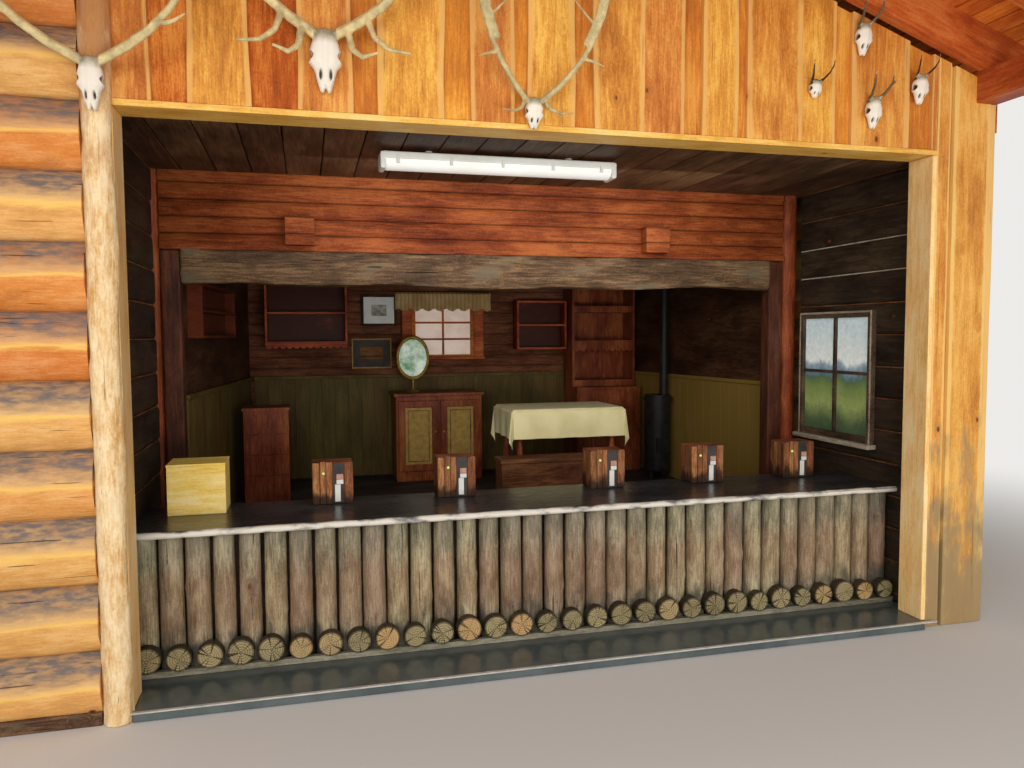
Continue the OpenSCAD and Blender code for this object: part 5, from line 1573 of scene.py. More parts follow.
@dataclass
class CounterFront:
    """The ledge, the cut log ends, the palisade of poles, the counter top and its boxes."""

    pole_kinds: int = 6
    pole_pitch: float = 0.121
    pole_r: float = 0.056
    log_kinds: int = 5
    log_pitch: float = 0.141
    log_r: float = 0.066
    trim: float = 0.006
    seed: int = 31

    def row(self, node: str, pitch: float, radius: float) -> list[float]:
        """Where round things stand side by side, centred over a node.

        Args:
            node: The node.
            pitch: From one to the next.
            radius: Their radius.

        Returns:
            The X of each one's middle.
        """
        low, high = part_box(node)
        count = round((high.x - low.x - 2 * radius) / pitch) + 1
        first = (low.x + high.x - (count - 1) * pitch) / 2
        return [first + k * pitch for k in range(count)]

    def pole(self, rng: random.Random, height: float) -> Thing:
        """One pole with swellings where branches were.

        Args:
            rng: Source of its chances.
            height: Its height.

        Returns:
            The pole, one unit in radius, standing at the origin.
        """
        rings = 26
        profile = [(1.0 - 0.05 * k / rings + rng.uniform(-0.012, 0.012), height * k / rings)
            for k in range(rings + 1)]
        thing = turned((0, 0, 0), profile, POLE, sides=22)
        knots = [(rng.uniform(-2.6, -0.5), rng.uniform(0.15, 0.6), rng.uniform(0.05, 0.13))
            for _ in range(rng.randint(1, 3))]
        seed = rng.uniform(0, 50)
        for vertex in thing.data.vertices:
            angle = math.atan2(vertex.co.y, vertex.co.x)
            grow = 1.0
            for turn, up, size in knots:
                gap = math.hypot((angle - turn) * self.pole_r, vertex.co.z - up)
                grow += size * math.exp(-(gap / 0.028) ** 2)
            grow += 0.05 * noise.noise(Vector((math.cos(angle), math.sin(angle) + seed,
                vertex.co.z * 3.0)))
            vertex.co.x *= grow
            vertex.co.y *= grow
        return thing

    def palisade(self) -> None:
        """Poles side by side, each from one of a few kinds."""
        low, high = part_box("palisade")
        middle_y = (low.y + high.y) / 2
        rng = random.Random(self.seed)
        kinds = [self.pole(rng, high.z - low.z) for _ in range(self.pole_kinds)]
        poles = []
        for k, x in enumerate(self.row("palisade", self.pole_pitch, self.pole_r)):
            wide, deep = self.pole_r * rng.uniform(0.93, 1.05), self.pole_r * rng.uniform(0.9, 0.98)
            turn = Matrix.Rotation(rng.uniform(-0.6, 0.6), 4, "Z")
            move = Matrix.Translation((x, middle_y, low.z)) @ Matrix.Diagonal((wide, deep, 1, 1)) @ turn
            poles.append(set_tone(copy_of(kinds[k % self.pole_kinds], move), rng.random()))
        drop(*kinds)
        finished(joined(poles), "palisade_poles", ["palisade"])

    def foot_logs(self) -> None:
        """Short logs with rings and cracks in their cut ends."""
        low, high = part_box("foot_logs")
        rng = random.Random(self.seed + 5)
        depth = high.y - low.y
        profile = [(r, depth * share) for r, share in (
            (1.0, 0.0), (1.0, 0.35), (1.0, 0.8), (0.985, 0.95), (0.93, 1), (0.75, 1), (0.5, 1), (0.22, 1))]
        kinds = []
        for _ in range(self.log_kinds):
            thing = turned((0, 0, 0), profile, LOG_END, sides=32)
            turn = rng.uniform(0, 6)
            for vertex in thing.data.vertices:
                angle = math.atan2(vertex.co.y, vertex.co.x)
                out = math.hypot(vertex.co.x, vertex.co.y)
                grow = 1 + 0.05 * noise.noise(Vector((math.cos(angle), math.sin(angle), turn)))
                vertex.co.x *= grow
                vertex.co.y *= grow
                if vertex.co.z > depth * 0.97:
                    vertex.co.z -= 0.004 * max(0.0, math.sin(angle * 2 + turn)) * out
            mark(thing, "core", [c for v in thing.data.vertices for c in (v.co.x, v.co.y, 0.0)],
                 "FLOAT_VECTOR")
            kinds.append(thing)
        logs = []
        for k, x in enumerate(self.row("foot_logs", self.log_pitch, self.log_r)):
            size = self.log_r * rng.uniform(0.85, 0.985)
            turn = Matrix.Rotation(rng.uniform(0, 6.28), 4, "Z")
            move = Matrix.Translation((x, high.y, low.z + size)) @ FORWARD @ turn
            move = move @ Matrix.Diagonal((size, size, 1, 1))
            logs.append(set_tone(copy_of(kinds[k % self.log_kinds], move), rng.random()))
        drop(*kinds)
        finished(joined(logs), "cut_log_ends", ["foot_logs"])

    def ledge_trim(self) -> None:
        """A bright metal edge along the ledge."""
        low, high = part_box("ledge")
        end = (high.x, low.y + 0.012, high.z + 0.001)
        strip = board((low.x, low.y - self.trim, high.z - 0.006), end, STEEL, arris=0.001, cuts=8)
        finished(strip, "ledge_edge_trim")

    def build(self) -> None:
        """Builds the counter."""
        self.palisade()
        self.foot_logs()
        self.ledge_trim()
        carried("ledge", LEDGE, 0.006)
        carried("foot_strip", STRIP)
        carried("counter_top", COUNTER, 0.0)
        carried("counter_wall", FRAME_BROWN)


@dataclass
class CounterBoxes:
    """Slatted boxes with a dark metal part, a plate and a small light, and one plywood box."""

    places: tuple[float, ...] = (-0.912, -0.226, 0.688, 1.344, 1.984)
    width: float = 0.215
    depth: float = 0.150
    height: float = 0.235
    back_in: float = 0.020
    lid: float = 0.014
    joint: float = 0.0015
    slat_t: float = 0.014
    # Each front slat: where it starts and ends as a share of the width, its tone and how far it stands up
    slats: tuple[tuple[float, float, float, float], ...] = ((0.0, 0.17, 0.95, 0.0),
        (0.185, 0.33, 0.8, 0.006), (0.33, 0.49, 0.7, 0.003), (0.79, 1.0, 0.55, 0.0))
    metal: tuple[float, float] = (0.50, 0.78)
    # Each plate on the metal: left, right, foot and head as shares of the box, and its finish
    plates: tuple[tuple[float, float, float, float, Finish], ...] = ((0.59, 0.76, 0.58, 0.7, PLATE_RED),
        (0.59, 0.76, 0.47, 0.57, PAPER), (0.55, 0.69, 0.06, 0.46, PAPER))
    light: tuple[float, float] = (0.27, 0.73)
    side_slats: int = 4
    ply: Point = (0.290, 0.240, 0.265)
    ply_lid: float = 0.012
    seed: int = 40

    def slatted(self, left: float, front: float, foot: float, rng: random.Random) -> list[Thing]:
        """One slatted box.

        Args:
            left: The X of its left side.
            front: The Y of its face.
            foot: The Z that it stands on.
            rng: Source of its slats' tones.

        Returns:
            Its parts.
        """
        top = foot + self.height
        right, back = left + self.width, front + self.depth
        under = top - self.lid
        base, joint, step = foot + 0.003, self.joint, self.depth / self.side_slats
        body = ((left + 0.006, front + 0.006, foot), (right - 0.006, back - 0.006, under))
        parts = [board(*body, BOX_SLAT, tone=0.05)]
        parts += boards(((left, front + 0.012, under), (right, back, top - 0.006), BOX_SLAT, 0.004, 0, 0.3))
        for a, b, tone, up in self.slats:
            a, b = left + a * self.width + joint, left + b * self.width - joint
            ends = ((a, front, base), (b, front + self.slat_t, top - 0.006 + up))
            parts += boards((*ends, BOX_SLAT, 0.002, 0, tone))
        for y in (front + k * step for k in range(self.side_slats)):
            for x in (left - 0.001, right - 0.010):
                ends = ((x, y + joint, base), (x + 0.011, y + step - joint, under))
                parts += boards((*ends, BOX_SLAT, 0.002, 0, rng.random()))
        a, b = (left + share * self.width for share in self.metal)
        parts += boards(((a, front + 0.004, base), (b, front + 0.03, top - 0.008), BLACK_METAL, 0.002))
        for *shares, finish in self.plates:
            a, b = (left + share * self.width for share in shares[:2])
            low, high = (foot + share * self.height for share in shares[2:])
            parts += boards(((a, front, low), (b, front + 0.006, high), finish, 0.001))
        rings = [(0.007, 0), (0.007, 0.003), (0.005, 0.004), (0.005, 0.008), (0.003, 0.01)]
        bulb = turned((0, 0, 0), rings, GREEN_LIGHT, sides=12)
        across, up = self.light[0] * self.width, self.light[1] * self.height
        bulb.data.transform(Matrix.Translation((left + across, front + 0.001, foot + up)) @ FORWARD)
        return [*parts, bulb]

    def build(self) -> None:
        """Builds the boxes in place of their node."""
        low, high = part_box("counter_boxes")
        rng = random.Random(self.seed)
        front = high.y - self.back_in - self.depth
        parts = []
        for x in self.places:
            parts += self.slatted(x - self.width / 2, front, low.z, rng)
        far = low + Vector(self.ply)
        lid = far.z - self.ply_lid
        inner = (far.x - 0.002, far.y - 0.002, lid)
        parts.append(board((low.x + 0.002, low.y + 0.002, low.z), inner, PLYWOOD))
        parts.append(board((low.x, low.y, lid), far, PLYWOOD, tone=0.8))
        finished(joined(parts), "counter_box_set", ["counter_boxes"])


@dataclass
class Room:
    """Ceiling, inner walls, posts, bulkhead, hewn beam, painted window and lamp."""

    ceiling_board: float = 0.194
    wall_board: float = 0.195
    wall_t: float = 0.04
    # The painted window: its frame, its sill, and its bars, of which the level one lies above the middle
    frame_t: float = 0.034
    rim: float = 0.042
    sill_out: float = 0.02
    sill_t: float = 0.03
    bar_w: float = 0.028
    bar_up: float = 0.02
    lamp_hang: float = 0.02
    clips: int = 5
    # The joints of the right wall that still show pale chinking, counted from the top
    chinked: tuple[int, ...] = (2, 3)
    seed: int = 41

    def ceiling(self) -> None:
        """Boards that run into the hut, with open joints."""
        low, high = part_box("ceiling")
        stock = Stock(axis=1, arris=0.005, cuts=6, waver=0.004, seed=self.seed)
        count = round((high.x - low.x) / self.ceiling_board)
        width = (high.x - low.x) / count
        parts = []
        for k in range(count):
            end = (low.x + (k + 1) * width - 0.003, high.y, high.z - 0.006)
            parts.append(stock.cut((low.x + k * width + 0.003, low.y, low.z), end, CEILING))
        stock.done()
        parts.append(board((low.x, low.y, high.z - 0.006), high, DARK, 0.001))
        finished(joined(parts), "ceiling_boards", ["ceiling"])

    def walls(self) -> None:
        """Dark boards with a rounded face and pale chinking in their joints."""
        low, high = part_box("inner_walls")
        stock = Stock(axis=1, arris=0.016, cuts=14, waver=0.008, seed=self.seed + 1)
        thick = self.wall_t
        parts = []
        rows = math.ceil((high.z - low.z) / self.wall_board)
        for x0, face in ((low.x, 1), (high.x - thick, -1)):
            for k in range(rows):
                top = high.z - k * self.wall_board
                foot = max(low.z, top - self.wall_board)
                end = (x0 + thick, high.y, top - 0.004)
                parts.append(stock.cut((x0, low.y, foot + 0.004), end, DARK))
                filler = CHINK if face < 0 and k in self.chinked else NICHE
                inner = x0 + (thick - 0.014 if face > 0 else 0.008)
                end = (inner + 0.006, high.y, top + 0.002 if k else top)
                parts += boards(((inner, low.y, top - 0.006), end, filler, 0.001, 8, 0.5))
        stock.done()
        finished(joined(parts), "inner_wall_boards", ["inner_walls"])

    def beam(self) -> None:
        """The hewn beam: deep cracks and the marks of the axe."""
        twin = remeshed("hewn_beam", 0.012)
        roughen(twin, 0.022, 0.06, (7, 1, 1))
        roughen(twin, 0.008, 0.018, (9, 1, 1))
        smooth(set_tone(coat_with(twin, BEAM_GREY), 0.5), 60)
        finished(twin, "hewn_beam_face", ["hewn_beam"])

    def window(self) -> None:
        """A rough brown frame with four panes over a painted panel, waney pale edges and a sill."""
        low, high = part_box("painted_window")
        wall, out = high.x, high.x - self.frame_t
        y0, y1, z0, z1 = low.y + self.sill_out, high.y - self.sill_out, low.z + self.sill_t, high.z
        y, z, bar = (y0 + y1) / 2, (z0 + z1) / 2 + self.bar_up, self.bar_w / 2
        ya, yb, za, zb = y0 + self.rim, y1 - self.rim, z0 + self.rim, z1 - self.rim
        parts = boards(((out, y0, z0), (wall, ya, z1), FRAME_BROWN, 0.004, 10, 0.4),
                       ((out, yb, z0), (wall, y1, z1), FRAME_BROWN, 0.004, 10, 0.4),
                       ((out + 0.002, ya, z0), (wall, yb, za), FRAME_BROWN, 0.004, 10, 0.6),
                       ((out + 0.002, ya, zb), (wall, yb, z1), FRAME_BROWN, 0.004, 10, 0.6))
        edges = Stock(axis=2, arris=0.003, cuts=16, waver=0.006, seed=self.seed + 4)
        parts += [edges.cut((out - 0.003, a, z0), (out + 0.01, a + 0.012, z1), FRAME_WOOD, 0.7)
                  for a in (y0 + 0.004, y1 - 0.016)]
        edges.done()
        parts += boards(
            ((out - 0.003, y0 + 0.01, z1 - 0.014), (out + 0.01, y1 - 0.01, z1), FRAME_WOOD, 0.003, 10, 0.6),
            ((wall - 0.026, y - bar, za), (wall, y + bar, zb), FRAME_BROWN, 0.005, 6, 0.2),
            ((wall - 0.024, ya, z - 0.01), (wall, yb, z + 0.01), FRAME_BROWN, 0.005, 6, 0.3),
            (low, (wall, high.y, z0), FRAME_WOOD, 0.006, 10, 0.8),
            ((wall - 0.010, ya - 0.002, za - 0.002), (wall - 0.002, yb + 0.002, zb + 0.002), VIEW, 0.001))
        finished(joined(parts), "painted_window_set", ["painted_window"])

    def lamp(self) -> None:
        """A long lamp: a base, a rounded clear cover, end caps and clips."""
        low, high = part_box("lamp")
        length, base = high.x - low.x, high.z - self.lamp_hang
        x, y = (low.x + high.x) / 2, (low.y + high.y) / 2
        parts = boards(((low.x + 0.01, low.y, base - 0.04), (high.x - 0.01, high.y, base), WHITE, 0.01, 4))
        tube = start(bpy.ops.mesh.primitive_cylinder_add, vertices=32, radius=(high.y - low.y) / 2 - 0.006,
                     depth=length - 0.05, rotation=(0, math.pi / 2, 0), location=(x, y, base - 0.036))
        edit(tube)
        bpy.ops.transform.resize(value=(1, 1, 0.8), center_override=(0, 0, base - 0.036))
        bpy.ops.mesh.bisect(plane_co=(0, 0, base - 0.034), plane_no=(0, 0, 1), use_fill=True,
                            clear_outer=True)
        round_ends(tube, 0.012, 3)
        parts.append(smooth(coat_with(tube, TUBE)))
        parts += boards(*(((end, low.y + 0.002, base - 0.088), (end + 0.03, high.y - 0.002, base - 0.002),
                           WHITE, 0.012) for end in (low.x, high.x - 0.03)))
        for k in range(self.clips):
            x = low.x + length * (0.07 + 0.215 * k)
            parts += boards(*(((x - 0.008, a, base - 0.06), (x + 0.008, b, base - 0.02), WHITE, 0.002)
                              for a, b in ((low.y - 0.004, low.y + 0.01), (high.y - 0.01, high.y + 0.004))))
        rod = [(0.02, 0), (0.02, self.lamp_hang - 0.002), (0.014, self.lamp_hang)]
        parts += [turned((low.x + length * share, y, base), rod, WHITE, 14) for share in (0.2, 0.8)]
        finished(joined(parts), "lamp_set", ["lamp"])

    def build(self) -> None:
        """Builds the room."""
        self.ceiling()
        self.walls()
        self.beam()
        self.window()
        self.lamp()
        carried("outer_posts", RED_UP, 0.0)
        carried("inner_posts", DARK_UP, 0.012)
        carried("bulkhead", BULKHEAD)
        carried("hut_floor", FLOOR)


@dataclass
class Niche:
    """The furnished niche behind the beam: walls, wainscot, window, shelves and frames."""

    board_w: float = 0.115
    board_t: float = 0.014
    cap_out: float = 0.012
    back_in: float = 0.130
    mouth: tuple[float, float] = (-1.750, 2.236)
    mouth_y: float = -0.140
    splay: float = math.atan(0.240 / 2.170)
    side_l: float = 2.123
    frame_1: tuple[float, float, float, float] = (-0.555, 1.750, 0.320, 0.285)
    frame_2: tuple[float, float, float, float] = (-0.6425, 1.372, 0.355, 0.268)
    rim: float = 0.024
    # The window: widths of its casing, its sill, its sash and the bars between its panes
    casing: float = 0.09
    sill_t: float = 0.026
    sash_in: float = 0.124
    sash_rail: float = 0.045
    sash_bar: float = 0.018
    folds: int = 24
    fold_depth: float = 0.011
    seed: int = 51

    def wainscot(self) -> None:
        """Upright tongued boards on three sides, under a capping."""
        low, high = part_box("wainscot")
        back_low, back_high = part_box("niche_back")
        thick, out = self.board_t, self.board_t + self.cap_out
        under = high.z - 0.02
        y = back_low.y - thick
        stock = Stock(axis=2, arris=0.003, cuts=1, seed=self.seed + 3)
        parts = []
        x0, x1 = back_low.x + self.back_in, back_high.x - self.back_in
        count = round((x1 - x0) / self.board_w)
        step = (x1 - x0) / count
        parts += [stock.cut((x0 + k * step, y, low.z), (x0 + (k + 1) * step, y + thick, under), OLIVE)
            for k in range(count)]
        parts += boards(((x0, y - self.cap_out, high.z - 0.03), (x1, y + thick, high.z), OLIVE, 0.005, 6))
        start_in = self.cap_out
        side_count = round(self.side_l / self.board_w)
        step = (self.side_l - start_in) / side_count
        for corner, side in zip(self.mouth, (1, -1)):
            turn = Matrix.Rotation(-side * self.splay, 4, "Z")
            turn = Matrix.Translation((corner, self.mouth_y, 0)) @ turn
            for k in range(side_count):
                a = start_in + k * step
                xs = (0, thick) if side > 0 else (-thick, 0)
                piece = stock.cut((xs[0], a, low.z), (xs[1], a + step, under), OLIVE)
                piece.data.transform(turn)
                parts.append(piece)
            xs = (0, out) if side > 0 else (-out, 0)
            cap = board((xs[0], start_in, high.z - 0.03), (xs[1], self.side_l, high.z), OLIVE, 0.005, 6)
            cap.data.transform(turn)
            parts.append(cap)
        stock.done()
        finished(joined(parts), "wainscot_boards", ["wainscot"])

    def window(self) -> None:
        """A casing, a sash with bars, milky panes and a sill."""
        low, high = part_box("niche_window")
        y, bar = low.y, self.sash_bar
        x0, x1, z0, z1 = low.x + self.casing, high.x - self.casing, low.z + self.sill_t, high.z - self.casing
        g0, g1 = low.x + self.sash_in, high.x - self.sash_in
        h0, h1 = low.z + self.sash_rail, high.z - self.sash_rail - self.sash_in / 2
        mid, step = (g0 + g1) / 2, (h1 - h0 + bar) / 3
        rows = [((low.x, y, low.z), (x0, high.y, high.z), 0.006, 6, 0.4),
                ((x1, y, low.z), high, 0.006, 6, 0.4),
                ((x0, y + 0.002, z1), (x1, high.y, high.z), 0.006),
                ((low.x - 0.01, y - 0.012, low.z), (high.x + 0.01, high.y, z0), 0.006),
                ((x0, y + 0.006, z0), (g0, high.y, z1), 0.004, 0, 0.7),
                ((g1, y + 0.006, z0), (x1, high.y, z1), 0.004, 0, 0.7),
                ((g0, y + 0.006, z0), (g1, high.y, h0), 0.004, 0, 0.6),
                ((g0, y + 0.006, h1), (g1, high.y, z1), 0.004, 0, 0.6),
                ((mid - bar / 2, y + 0.01, h0), (mid + bar / 2, high.y - 0.008, h1), 0.003)]
        rows += [((g0, y + 0.012, z), (g1, high.y - 0.008, z + bar), 0.003)
                 for z in (h0 + step - bar, h0 + 2 * step - bar)]
        parts = boards(
            *((a, b, SHELF_WOOD, *rest) for a, b, *rest in rows),
            ((g0 - 0.002, y + 0.024, h0 - 0.002), (g1 + 0.002, y + 0.030, h1 + 0.002), PANE, 0.001),
            ((g0 - 0.01, y + 0.030, h0 - 0.01), (g1 + 0.01, high.y, h1 + 0.01), DARK, 0.001))
        finished(joined(parts), "niche_window_set", ["niche_window"])

    def pelmet(self) -> None:
        """A gathered strip of natural lace on a rod over the window."""
        low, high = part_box("window_pelmet")
        width, height = high.x - low.x, high.z - low.z
        thing = start(bpy.ops.mesh.primitive_grid_add, x_subdivisions=self.folds * 12, y_subdivisions=14,
                      size=1)
        rng = random.Random(self.seed + 7)
        phase = [rng.uniform(-0.5, 0.5) for _ in range(self.folds + 2)]
        for vertex in thing.data.vertices:
            u, v = vertex.co.x + 0.5, vertex.co.y + 0.5
            fold = u * self.folds
            wave = math.sin(2 * math.pi * (fold + 0.16 * phase[int(fold)] * (1 - v)))
            flare = 0.55 + 0.45 * (1 - v)
            sag = 0.012 * math.sin(fold * 2.1) * (1 - v)
            vertex.co = (low.x + width * u + 0.004 * math.cos(2 * math.pi * fold) * flare,
                         (low.y + high.y) / 2 + self.fold_depth * wave * flare,
                         high.z - 0.93 * height * (1 - v) + sag - 0.004)
        smooth(coat_with(thing, LACE), 80)
        rod = start(bpy.ops.mesh.primitive_cylinder_add, vertices=16, radius=0.007, depth=width,
                    rotation=(0, math.pi / 2, 0),
                    location=((low.x + high.x) / 2, (low.y + high.y) / 2, high.z - 0.012))
        edit(rod)
        round_ends(rod, 0.003, 2)
        finished(smooth(coat_with(rod, BRASS)), "pelmet_rod")
        finished(thing, "pelmet_cloth_gathered", ["window_pelmet"])

    def frames(self) -> None:
        """Two framed pictures: a dark frame round a pale card, and a thin gilt one round a dark print."""
        low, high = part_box("wall_frames")
        parts = []
        for place, rim, edge, card, paper in (
                (self.frame_1, self.rim, FRAME_DARK, MOUNT_CARD, PICTURE),
                (self.frame_2, self.rim / 2, PICTURE_EDGE, PICTURE_DARK, NICHE)):
            x0, z0, width, height = place
            x1, z1, y = x0 + width, z0 + height, low.y
            a, b = rim - 0.002, rim + 0.24 * min(width, height)
            parts += boards(
                ((x0, y, z0), (x0 + rim, high.y, z1), edge, 0.004, 0, 0.5),
                ((x1 - rim, y, z0), (x1, high.y, z1), edge, 0.004, 0, 0.5),
                ((x0 + rim, y, z0), (x1 - rim, high.y, z0 + rim), edge, 0.004, 0, 0.5),
                ((x0 + rim, y, z1 - rim), (x1 - rim, high.y, z1), edge, 0.004, 0, 0.5),
                ((x0 + a, y + 0.01, z0 + a), (x1 - a, high.y, z1 - a), card, 0.001),
                ((x0 + b, y + 0.008, z0 + b), (x1 - b, y + 0.012, z1 - b), paper, 0.001))
        finished(joined(parts), "framed_pictures", ["wall_frames"])

    def build(self) -> None:
        """Builds the niche."""
        self.wainscot()
        self.window()
        self.pelmet()
        self.frames()
        carried("niche_back", NICHE, 0.0)
        carried("niche_sides", NICHE_SIDE)
        carried("stage_floor", FLOOR)
        carried("wall_shelves", SHELVES)


@dataclass
class Furniture:
    """Dresser, mirror, tall cupboard, table with its cloth, stove, chest and drawer cabinet."""

    drop: float = 0.235
    rest: float = 0.004
    hem_round: float = 0.018
    fold_reach: float = 0.14
    corner_folds: int = 2
    mirror_w: float = 0.300
    mirror_h: float = 0.400
    mirror_rim: float = 0.019
    lip: float = 0.018
    stile: float = 0.020
    top_t: float = 0.026
    door_z: float = 0.090
    door_set: float = 0.002
    door_frame: float = 0.055

    def fallen(self, over: Vector, phase: float) -> Vector:
        """Where a point of the cloth comes to hang.

        Args:
            over: How far it lies beyond the table's edges, in both directions.
            phase: Place in the side's slow waves.

        Returns:
            Its place against the nearest point of the table's edge.
        """
        down = over.length
        way = Vector((over.x, over.y, 0)).normalized()
        turn = math.atan2(abs(over.y), abs(over.x)) / (math.pi / 2)
        fold = self.fold_reach * (1 - math.cos(2 * math.pi * self.corner_folds * turn)) / 2
        bend = min(down, self.hem_round * math.pi / 2)
        out = self.hem_round * (1 - math.cos(bend / self.hem_round))
        fall = self.hem_round * math.sin(bend / self.hem_round)
        straight = down - bend
        wave = 0.009 * math.sin(phase) * straight / self.drop
        return way * (out + fold * straight + wave) + Vector((0, 0,
            -fall - straight * math.sqrt(1 - fold ** 2)))

    def cloth(self) -> None:
        """The tablecloth: flat on the table, straight at its sides, folded at its corners."""
        low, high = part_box("table")
        middle, half = (low + high) / 2, (high - low) / 2
        size = (2 * (half.x + self.drop), 2 * (half.y + self.drop))
        thing = start(bpy.ops.mesh.primitive_grid_add, x_subdivisions=132, y_subdivisions=100, size=1,
            location=(middle.x, middle.y, high.z + self.rest))
        edit(thing)
        bpy.ops.transform.resize(value=(size[0], size[1], 1), center_override=middle)
        close()
        for vertex in thing.data.vertices:
            away = vertex.co - middle
            over = Vector([math.copysign(max(0.0, abs(away[i]) - half[i]), away[i]) for i in (0, 1)]
                + [0])
            if over.length > 0:
                edge = vertex.co - over
                vertex.co = edge + self.fallen(over, edge.x * 26 + edge.y * 31)
        smooth(coat_with(thing, LINEN), 80)
        finished(thing, "tablecloth_sheet", ["tablecloth"])

    def mirror(self) -> None:
        """An oval mirror in a gilt ring, on a turned stem and foot."""
        low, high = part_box("oval_mirror")
        centre = Vector(((low.x + high.x) / 2, (low.y + high.y) / 2, high.z - self.mirror_h / 2))
        depth = 0.024
        ring = start(bpy.ops.mesh.primitive_torus_add, major_segments=56, minor_segments=12,
            major_radius=self.mirror_h / 2 - self.mirror_rim - 0.001, minor_radius=self.mirror_rim,
            rotation=(math.pi / 2, 0, 0), location=centre)
        glass = start(bpy.ops.mesh.primitive_cylinder_add, vertices=56, depth=depth * 0.5,
            radius=self.mirror_h / 2 - self.mirror_rim, rotation=(math.pi / 2, 0, 0), location=centre)
        for thing, finish, flat in ((ring, GILT, 0.6), (glass, MIRROR, 1.0)):
            edit(thing)
            bpy.ops.transform.resize(value=(self.mirror_w / self.mirror_h, flat, 1),
                center_override=centre)
            close()
            smooth(coat_with(thing, finish))
        foot = turned((centre.x, centre.y, low.z), [(0.058, 0), (0.06, 0.006), (0.052, 0.014),
            (0.02, 0.02), (0.012, 0.03), (0.016, 0.045), (0.011, 0.06),
            (0.011, high.z - self.mirror_h - low.z + 0.01)], GILT, 24)
        finished(joined([ring, glass, foot]), "dresser_mirror", ["oval_mirror"])

    def insets(self) -> None:
        """Limed panels and brass knobs in the dresser's doors."""
        low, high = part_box("dresser")
        door_w = (high.x - low.x - 2 * self.lip - 3 * self.stile) / 2
        door_h = high.z - low.z - self.top_t - self.door_z - 2 * self.stile
        face = low.y + self.door_set
        parts = []
        for k in (0, 1):
            x0 = low.x + self.lip + self.stile + k * (door_w + self.stile)
            z0 = low.z + self.door_z
            inner = self.door_frame + 0.003
            parts.append(board((x0 + inner, face + 0.004, z0 + inner), (x0 + door_w - inner, face + 0.01,
                z0 + door_h - inner), INSET, 0.002, tone=k))
            for step, finish in ((0.022, DARK_WOOD), (0.030, INSET)):
                parts.append(board((x0 + inner + step, face + 0.003 - step * 0.04, z0 + inner + step),
                    (x0 + door_w - inner - step, face + 0.008, z0 + door_h - inner - step), finish,
                    0.001, tone=0.6))
            knob_x = x0 + (door_w - 0.025 if k == 0 else 0.025)
            knob = turned((0, 0, 0), [(0.006, 0), (0.006, 0.006), (0.011, 0.01), (0.011, 0.013),
                (0.004, 0.016)], BRASS, 14)
            knob.data.transform(Matrix.Translation((knob_x, face + 0.002, z0 + door_h * 0.55))
                @ Matrix.Rotation(math.pi / 2, 4, "X"))
            parts.append(knob)
        finished(joined(parts), "dresser_door_panels")

    def build(self) -> None:
        """Builds the furniture."""
        self.cloth()
        self.mirror()
        self.insets()
        carried("dresser", RED_WOOD)
        carried("tall_cupboard", RED_WOOD)
        carried("table", RED_WOOD)
        carried("stove", IRON, 0.0)
        carried("chest", DARK_WOOD)
        carried("drawer_cabinet", RED_WOOD)


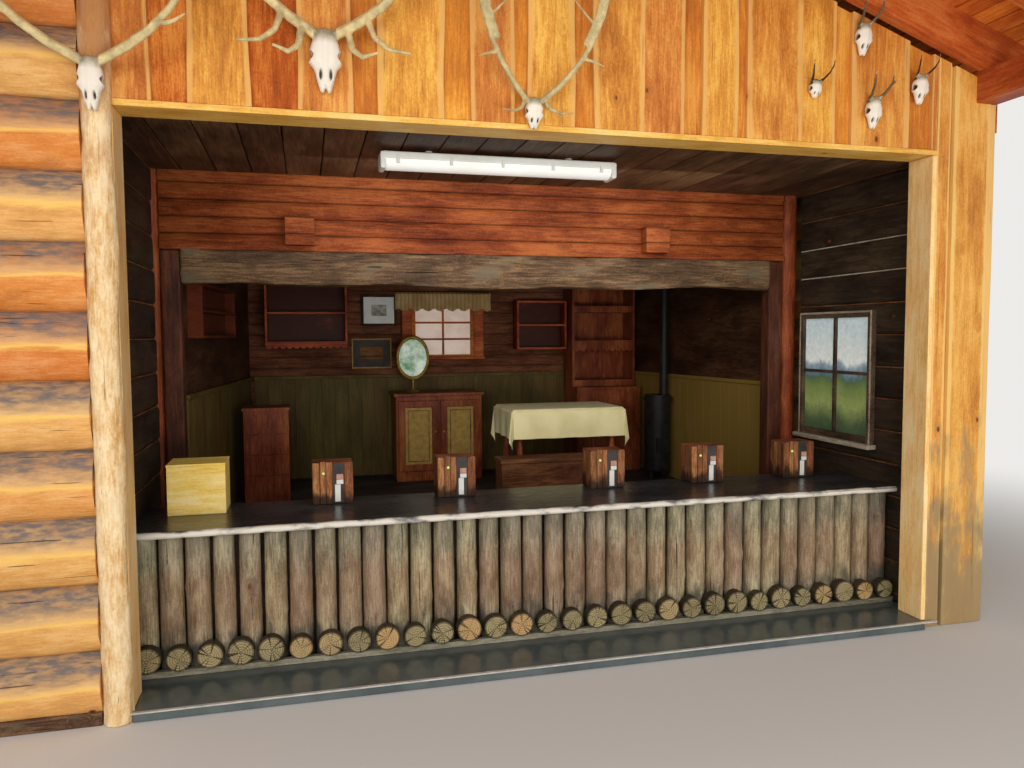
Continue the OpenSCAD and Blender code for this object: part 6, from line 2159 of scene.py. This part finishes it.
@dataclass
class Studio:
    """A pale floor, soft lamps and the camera at the photograph's angle."""

    eye: Point = (-1.041, -5.244, 1.666)
    yaw: float = math.radians(14.543)
    pitch: float = math.radians(-3.546)
    roll: float = math.radians(-0.3296)
    focal_px: float = 794.21
    image_w: int = 1024
    sensor: float = 36.0
    backdrop: str = "#f4f3f0"
    pale: float = 0.93
    shade: float = 0.5

    def camera(self) -> None:
        """Sets the camera."""
        ahead = Vector((math.sin(self.yaw) * math.cos(self.pitch), math.cos(self.yaw) * math.cos(self.pitch),
                        math.sin(self.pitch)))
        side = Vector((math.cos(self.yaw), -math.sin(self.yaw), 0))
        up = side.cross(ahead)
        turn, lean = math.cos(self.roll), math.sin(self.roll)
        side, up = turn * side + lean * up, -lean * side + turn * up
        facts = bpy.data.cameras.new("view")
        facts.sensor_width = self.sensor
        facts.lens = self.focal_px / self.image_w * self.sensor
        facts.clip_end = 200
        camera = bpy.data.objects.new("view", facts)
        camera.matrix_world = Matrix(((side.x, up.x, -ahead.x, self.eye[0]),
            (side.y, up.y, -ahead.y, self.eye[1]), (side.z, up.z, -ahead.z, self.eye[2]), (0, 0, 0, 1)))
        bpy.context.scene.collection.objects.link(camera)
        bpy.context.scene.camera = camera

    def lamp(self, name: str, place: Point, target: Point, size: tuple[float, float], power: float,
             spread: float = 180) -> None:
        """One soft lamp.

        Args:
            name: Its name.
            place: Where it hangs.
            target: What it points at.
            size: Its width and height.
            power: Its power in watts.
            spread: The angle of its light, in degrees.
        """
        facts = bpy.data.lights.new(name, "AREA")
        facts.shape = "RECTANGLE"
        facts.size, facts.size_y = size
        facts.energy = power
        facts.spread = math.radians(spread)
        lamp = bpy.data.objects.new(name, facts)
        lamp.visible_glossy = False
        lamp.location = place
        lamp.rotation_euler = (Vector(target) - Vector(place)).to_track_quat("-Z", "Y").to_euler()
        bpy.context.scene.collection.objects.link(lamp)

    def seen(self, tree: Tree) -> Node:
        """1 for rays from the camera or a gloss, 0 for the light that falls on the hut."""
        ray = add(tree, "LightPath")
        rays = [ray.outputs["Is Camera Ray"], ray.outputs["Is Glossy Ray"]]
        return add(tree, "Math", rays, operation="MAXIMUM")

    def build(self) -> None:
        """Builds the studio."""
        self.camera()
        self.lamp("front_soft", (-3.2, -8.0, 3.3), (0.3, -1.0, 1.3), (6, 4), 265)
        self.lamp("low_soft", (1.4, -6.4, 0.6), (0.3, -0.6, 2.8), (5, 1.0), 72, spread=130)
        self.lamp("room_soft", (0.3, -0.95, 2.45), (0.4, 1.3, 1.1), (2.6, 0.3), 11)
        world = bpy.data.worlds.new("studio")
        bpy.context.scene.world = world
        world.use_nodes = True
        tree = world.node_tree
        tree.nodes.clear()
        strength = add(tree, "MapRange", [self.seen(tree), 0.0, 1.0, self.shade, self.pale])
        back = add(tree, "Background", {"Color": linear(self.backdrop), "Strength": strength})
        add(tree, "OutputWorld", {"Surface": back})
        floor = start(bpy.ops.mesh.primitive_plane_add, size=80, location=(0, 0, -0.001))
        floor.name = "studio_floor"
        floor.data.materials.append(self.pale_floor())

    def pale_floor(self) -> bpy.types.Material:
        """A floor that keeps the shadow near the hut and runs into the backdrop's colour further out.

        Returns:
            The material.
        """
        material = bpy.data.materials.new("studio_floor_pale")
        material.use_nodes = True
        tree = material.node_tree
        tree.nodes.clear()
        place = add(tree, "TexCoord").outputs["Object"]
        away = add(tree, "VectorMath", [place], operation="LENGTH").outputs["Value"]
        far = add(tree, "MapRange", [away, 3.5, 8.0, 0.0, 1.0], interpolation_type="SMOOTHSTEP")
        share = add(tree, "Math", [far, self.seen(tree)], operation="MULTIPLY")
        near = add(tree, "BsdfDiffuse", {"Color": linear("#dedcd8")})
        plain = add(tree, "Emission", {"Color": linear(self.backdrop), "Strength": self.pale})
        both = add(tree, "MixShader", [share, near, plain])
        add(tree, "OutputMaterial", {"Surface": both})
        return material


def main() -> None:
    """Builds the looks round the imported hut, piece by piece."""
    logging.basicConfig(level=logging.INFO, format="%(message)s")
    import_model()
    bpy.context.scene.view_settings.view_transform = "Standard"
    Studio().build()
    Front().build()
    Trophies().build()
    for side, finish in ((Side.FRONT, LOGS), (Side.LEFT, LOGS_SIDE), (Side.RIGHT, LOGS_SIDE),
                         (Side.BACK, LOGS)):
        LogWall(side, finish).build()
    Roof().build()
    CounterFront().build()
    CounterBoxes().build()
    Room().build()
    Niche().build()
    Furniture().build()
    carried("ground_sill", BEAM_GREY)


if __name__ == "__main__":
    main()
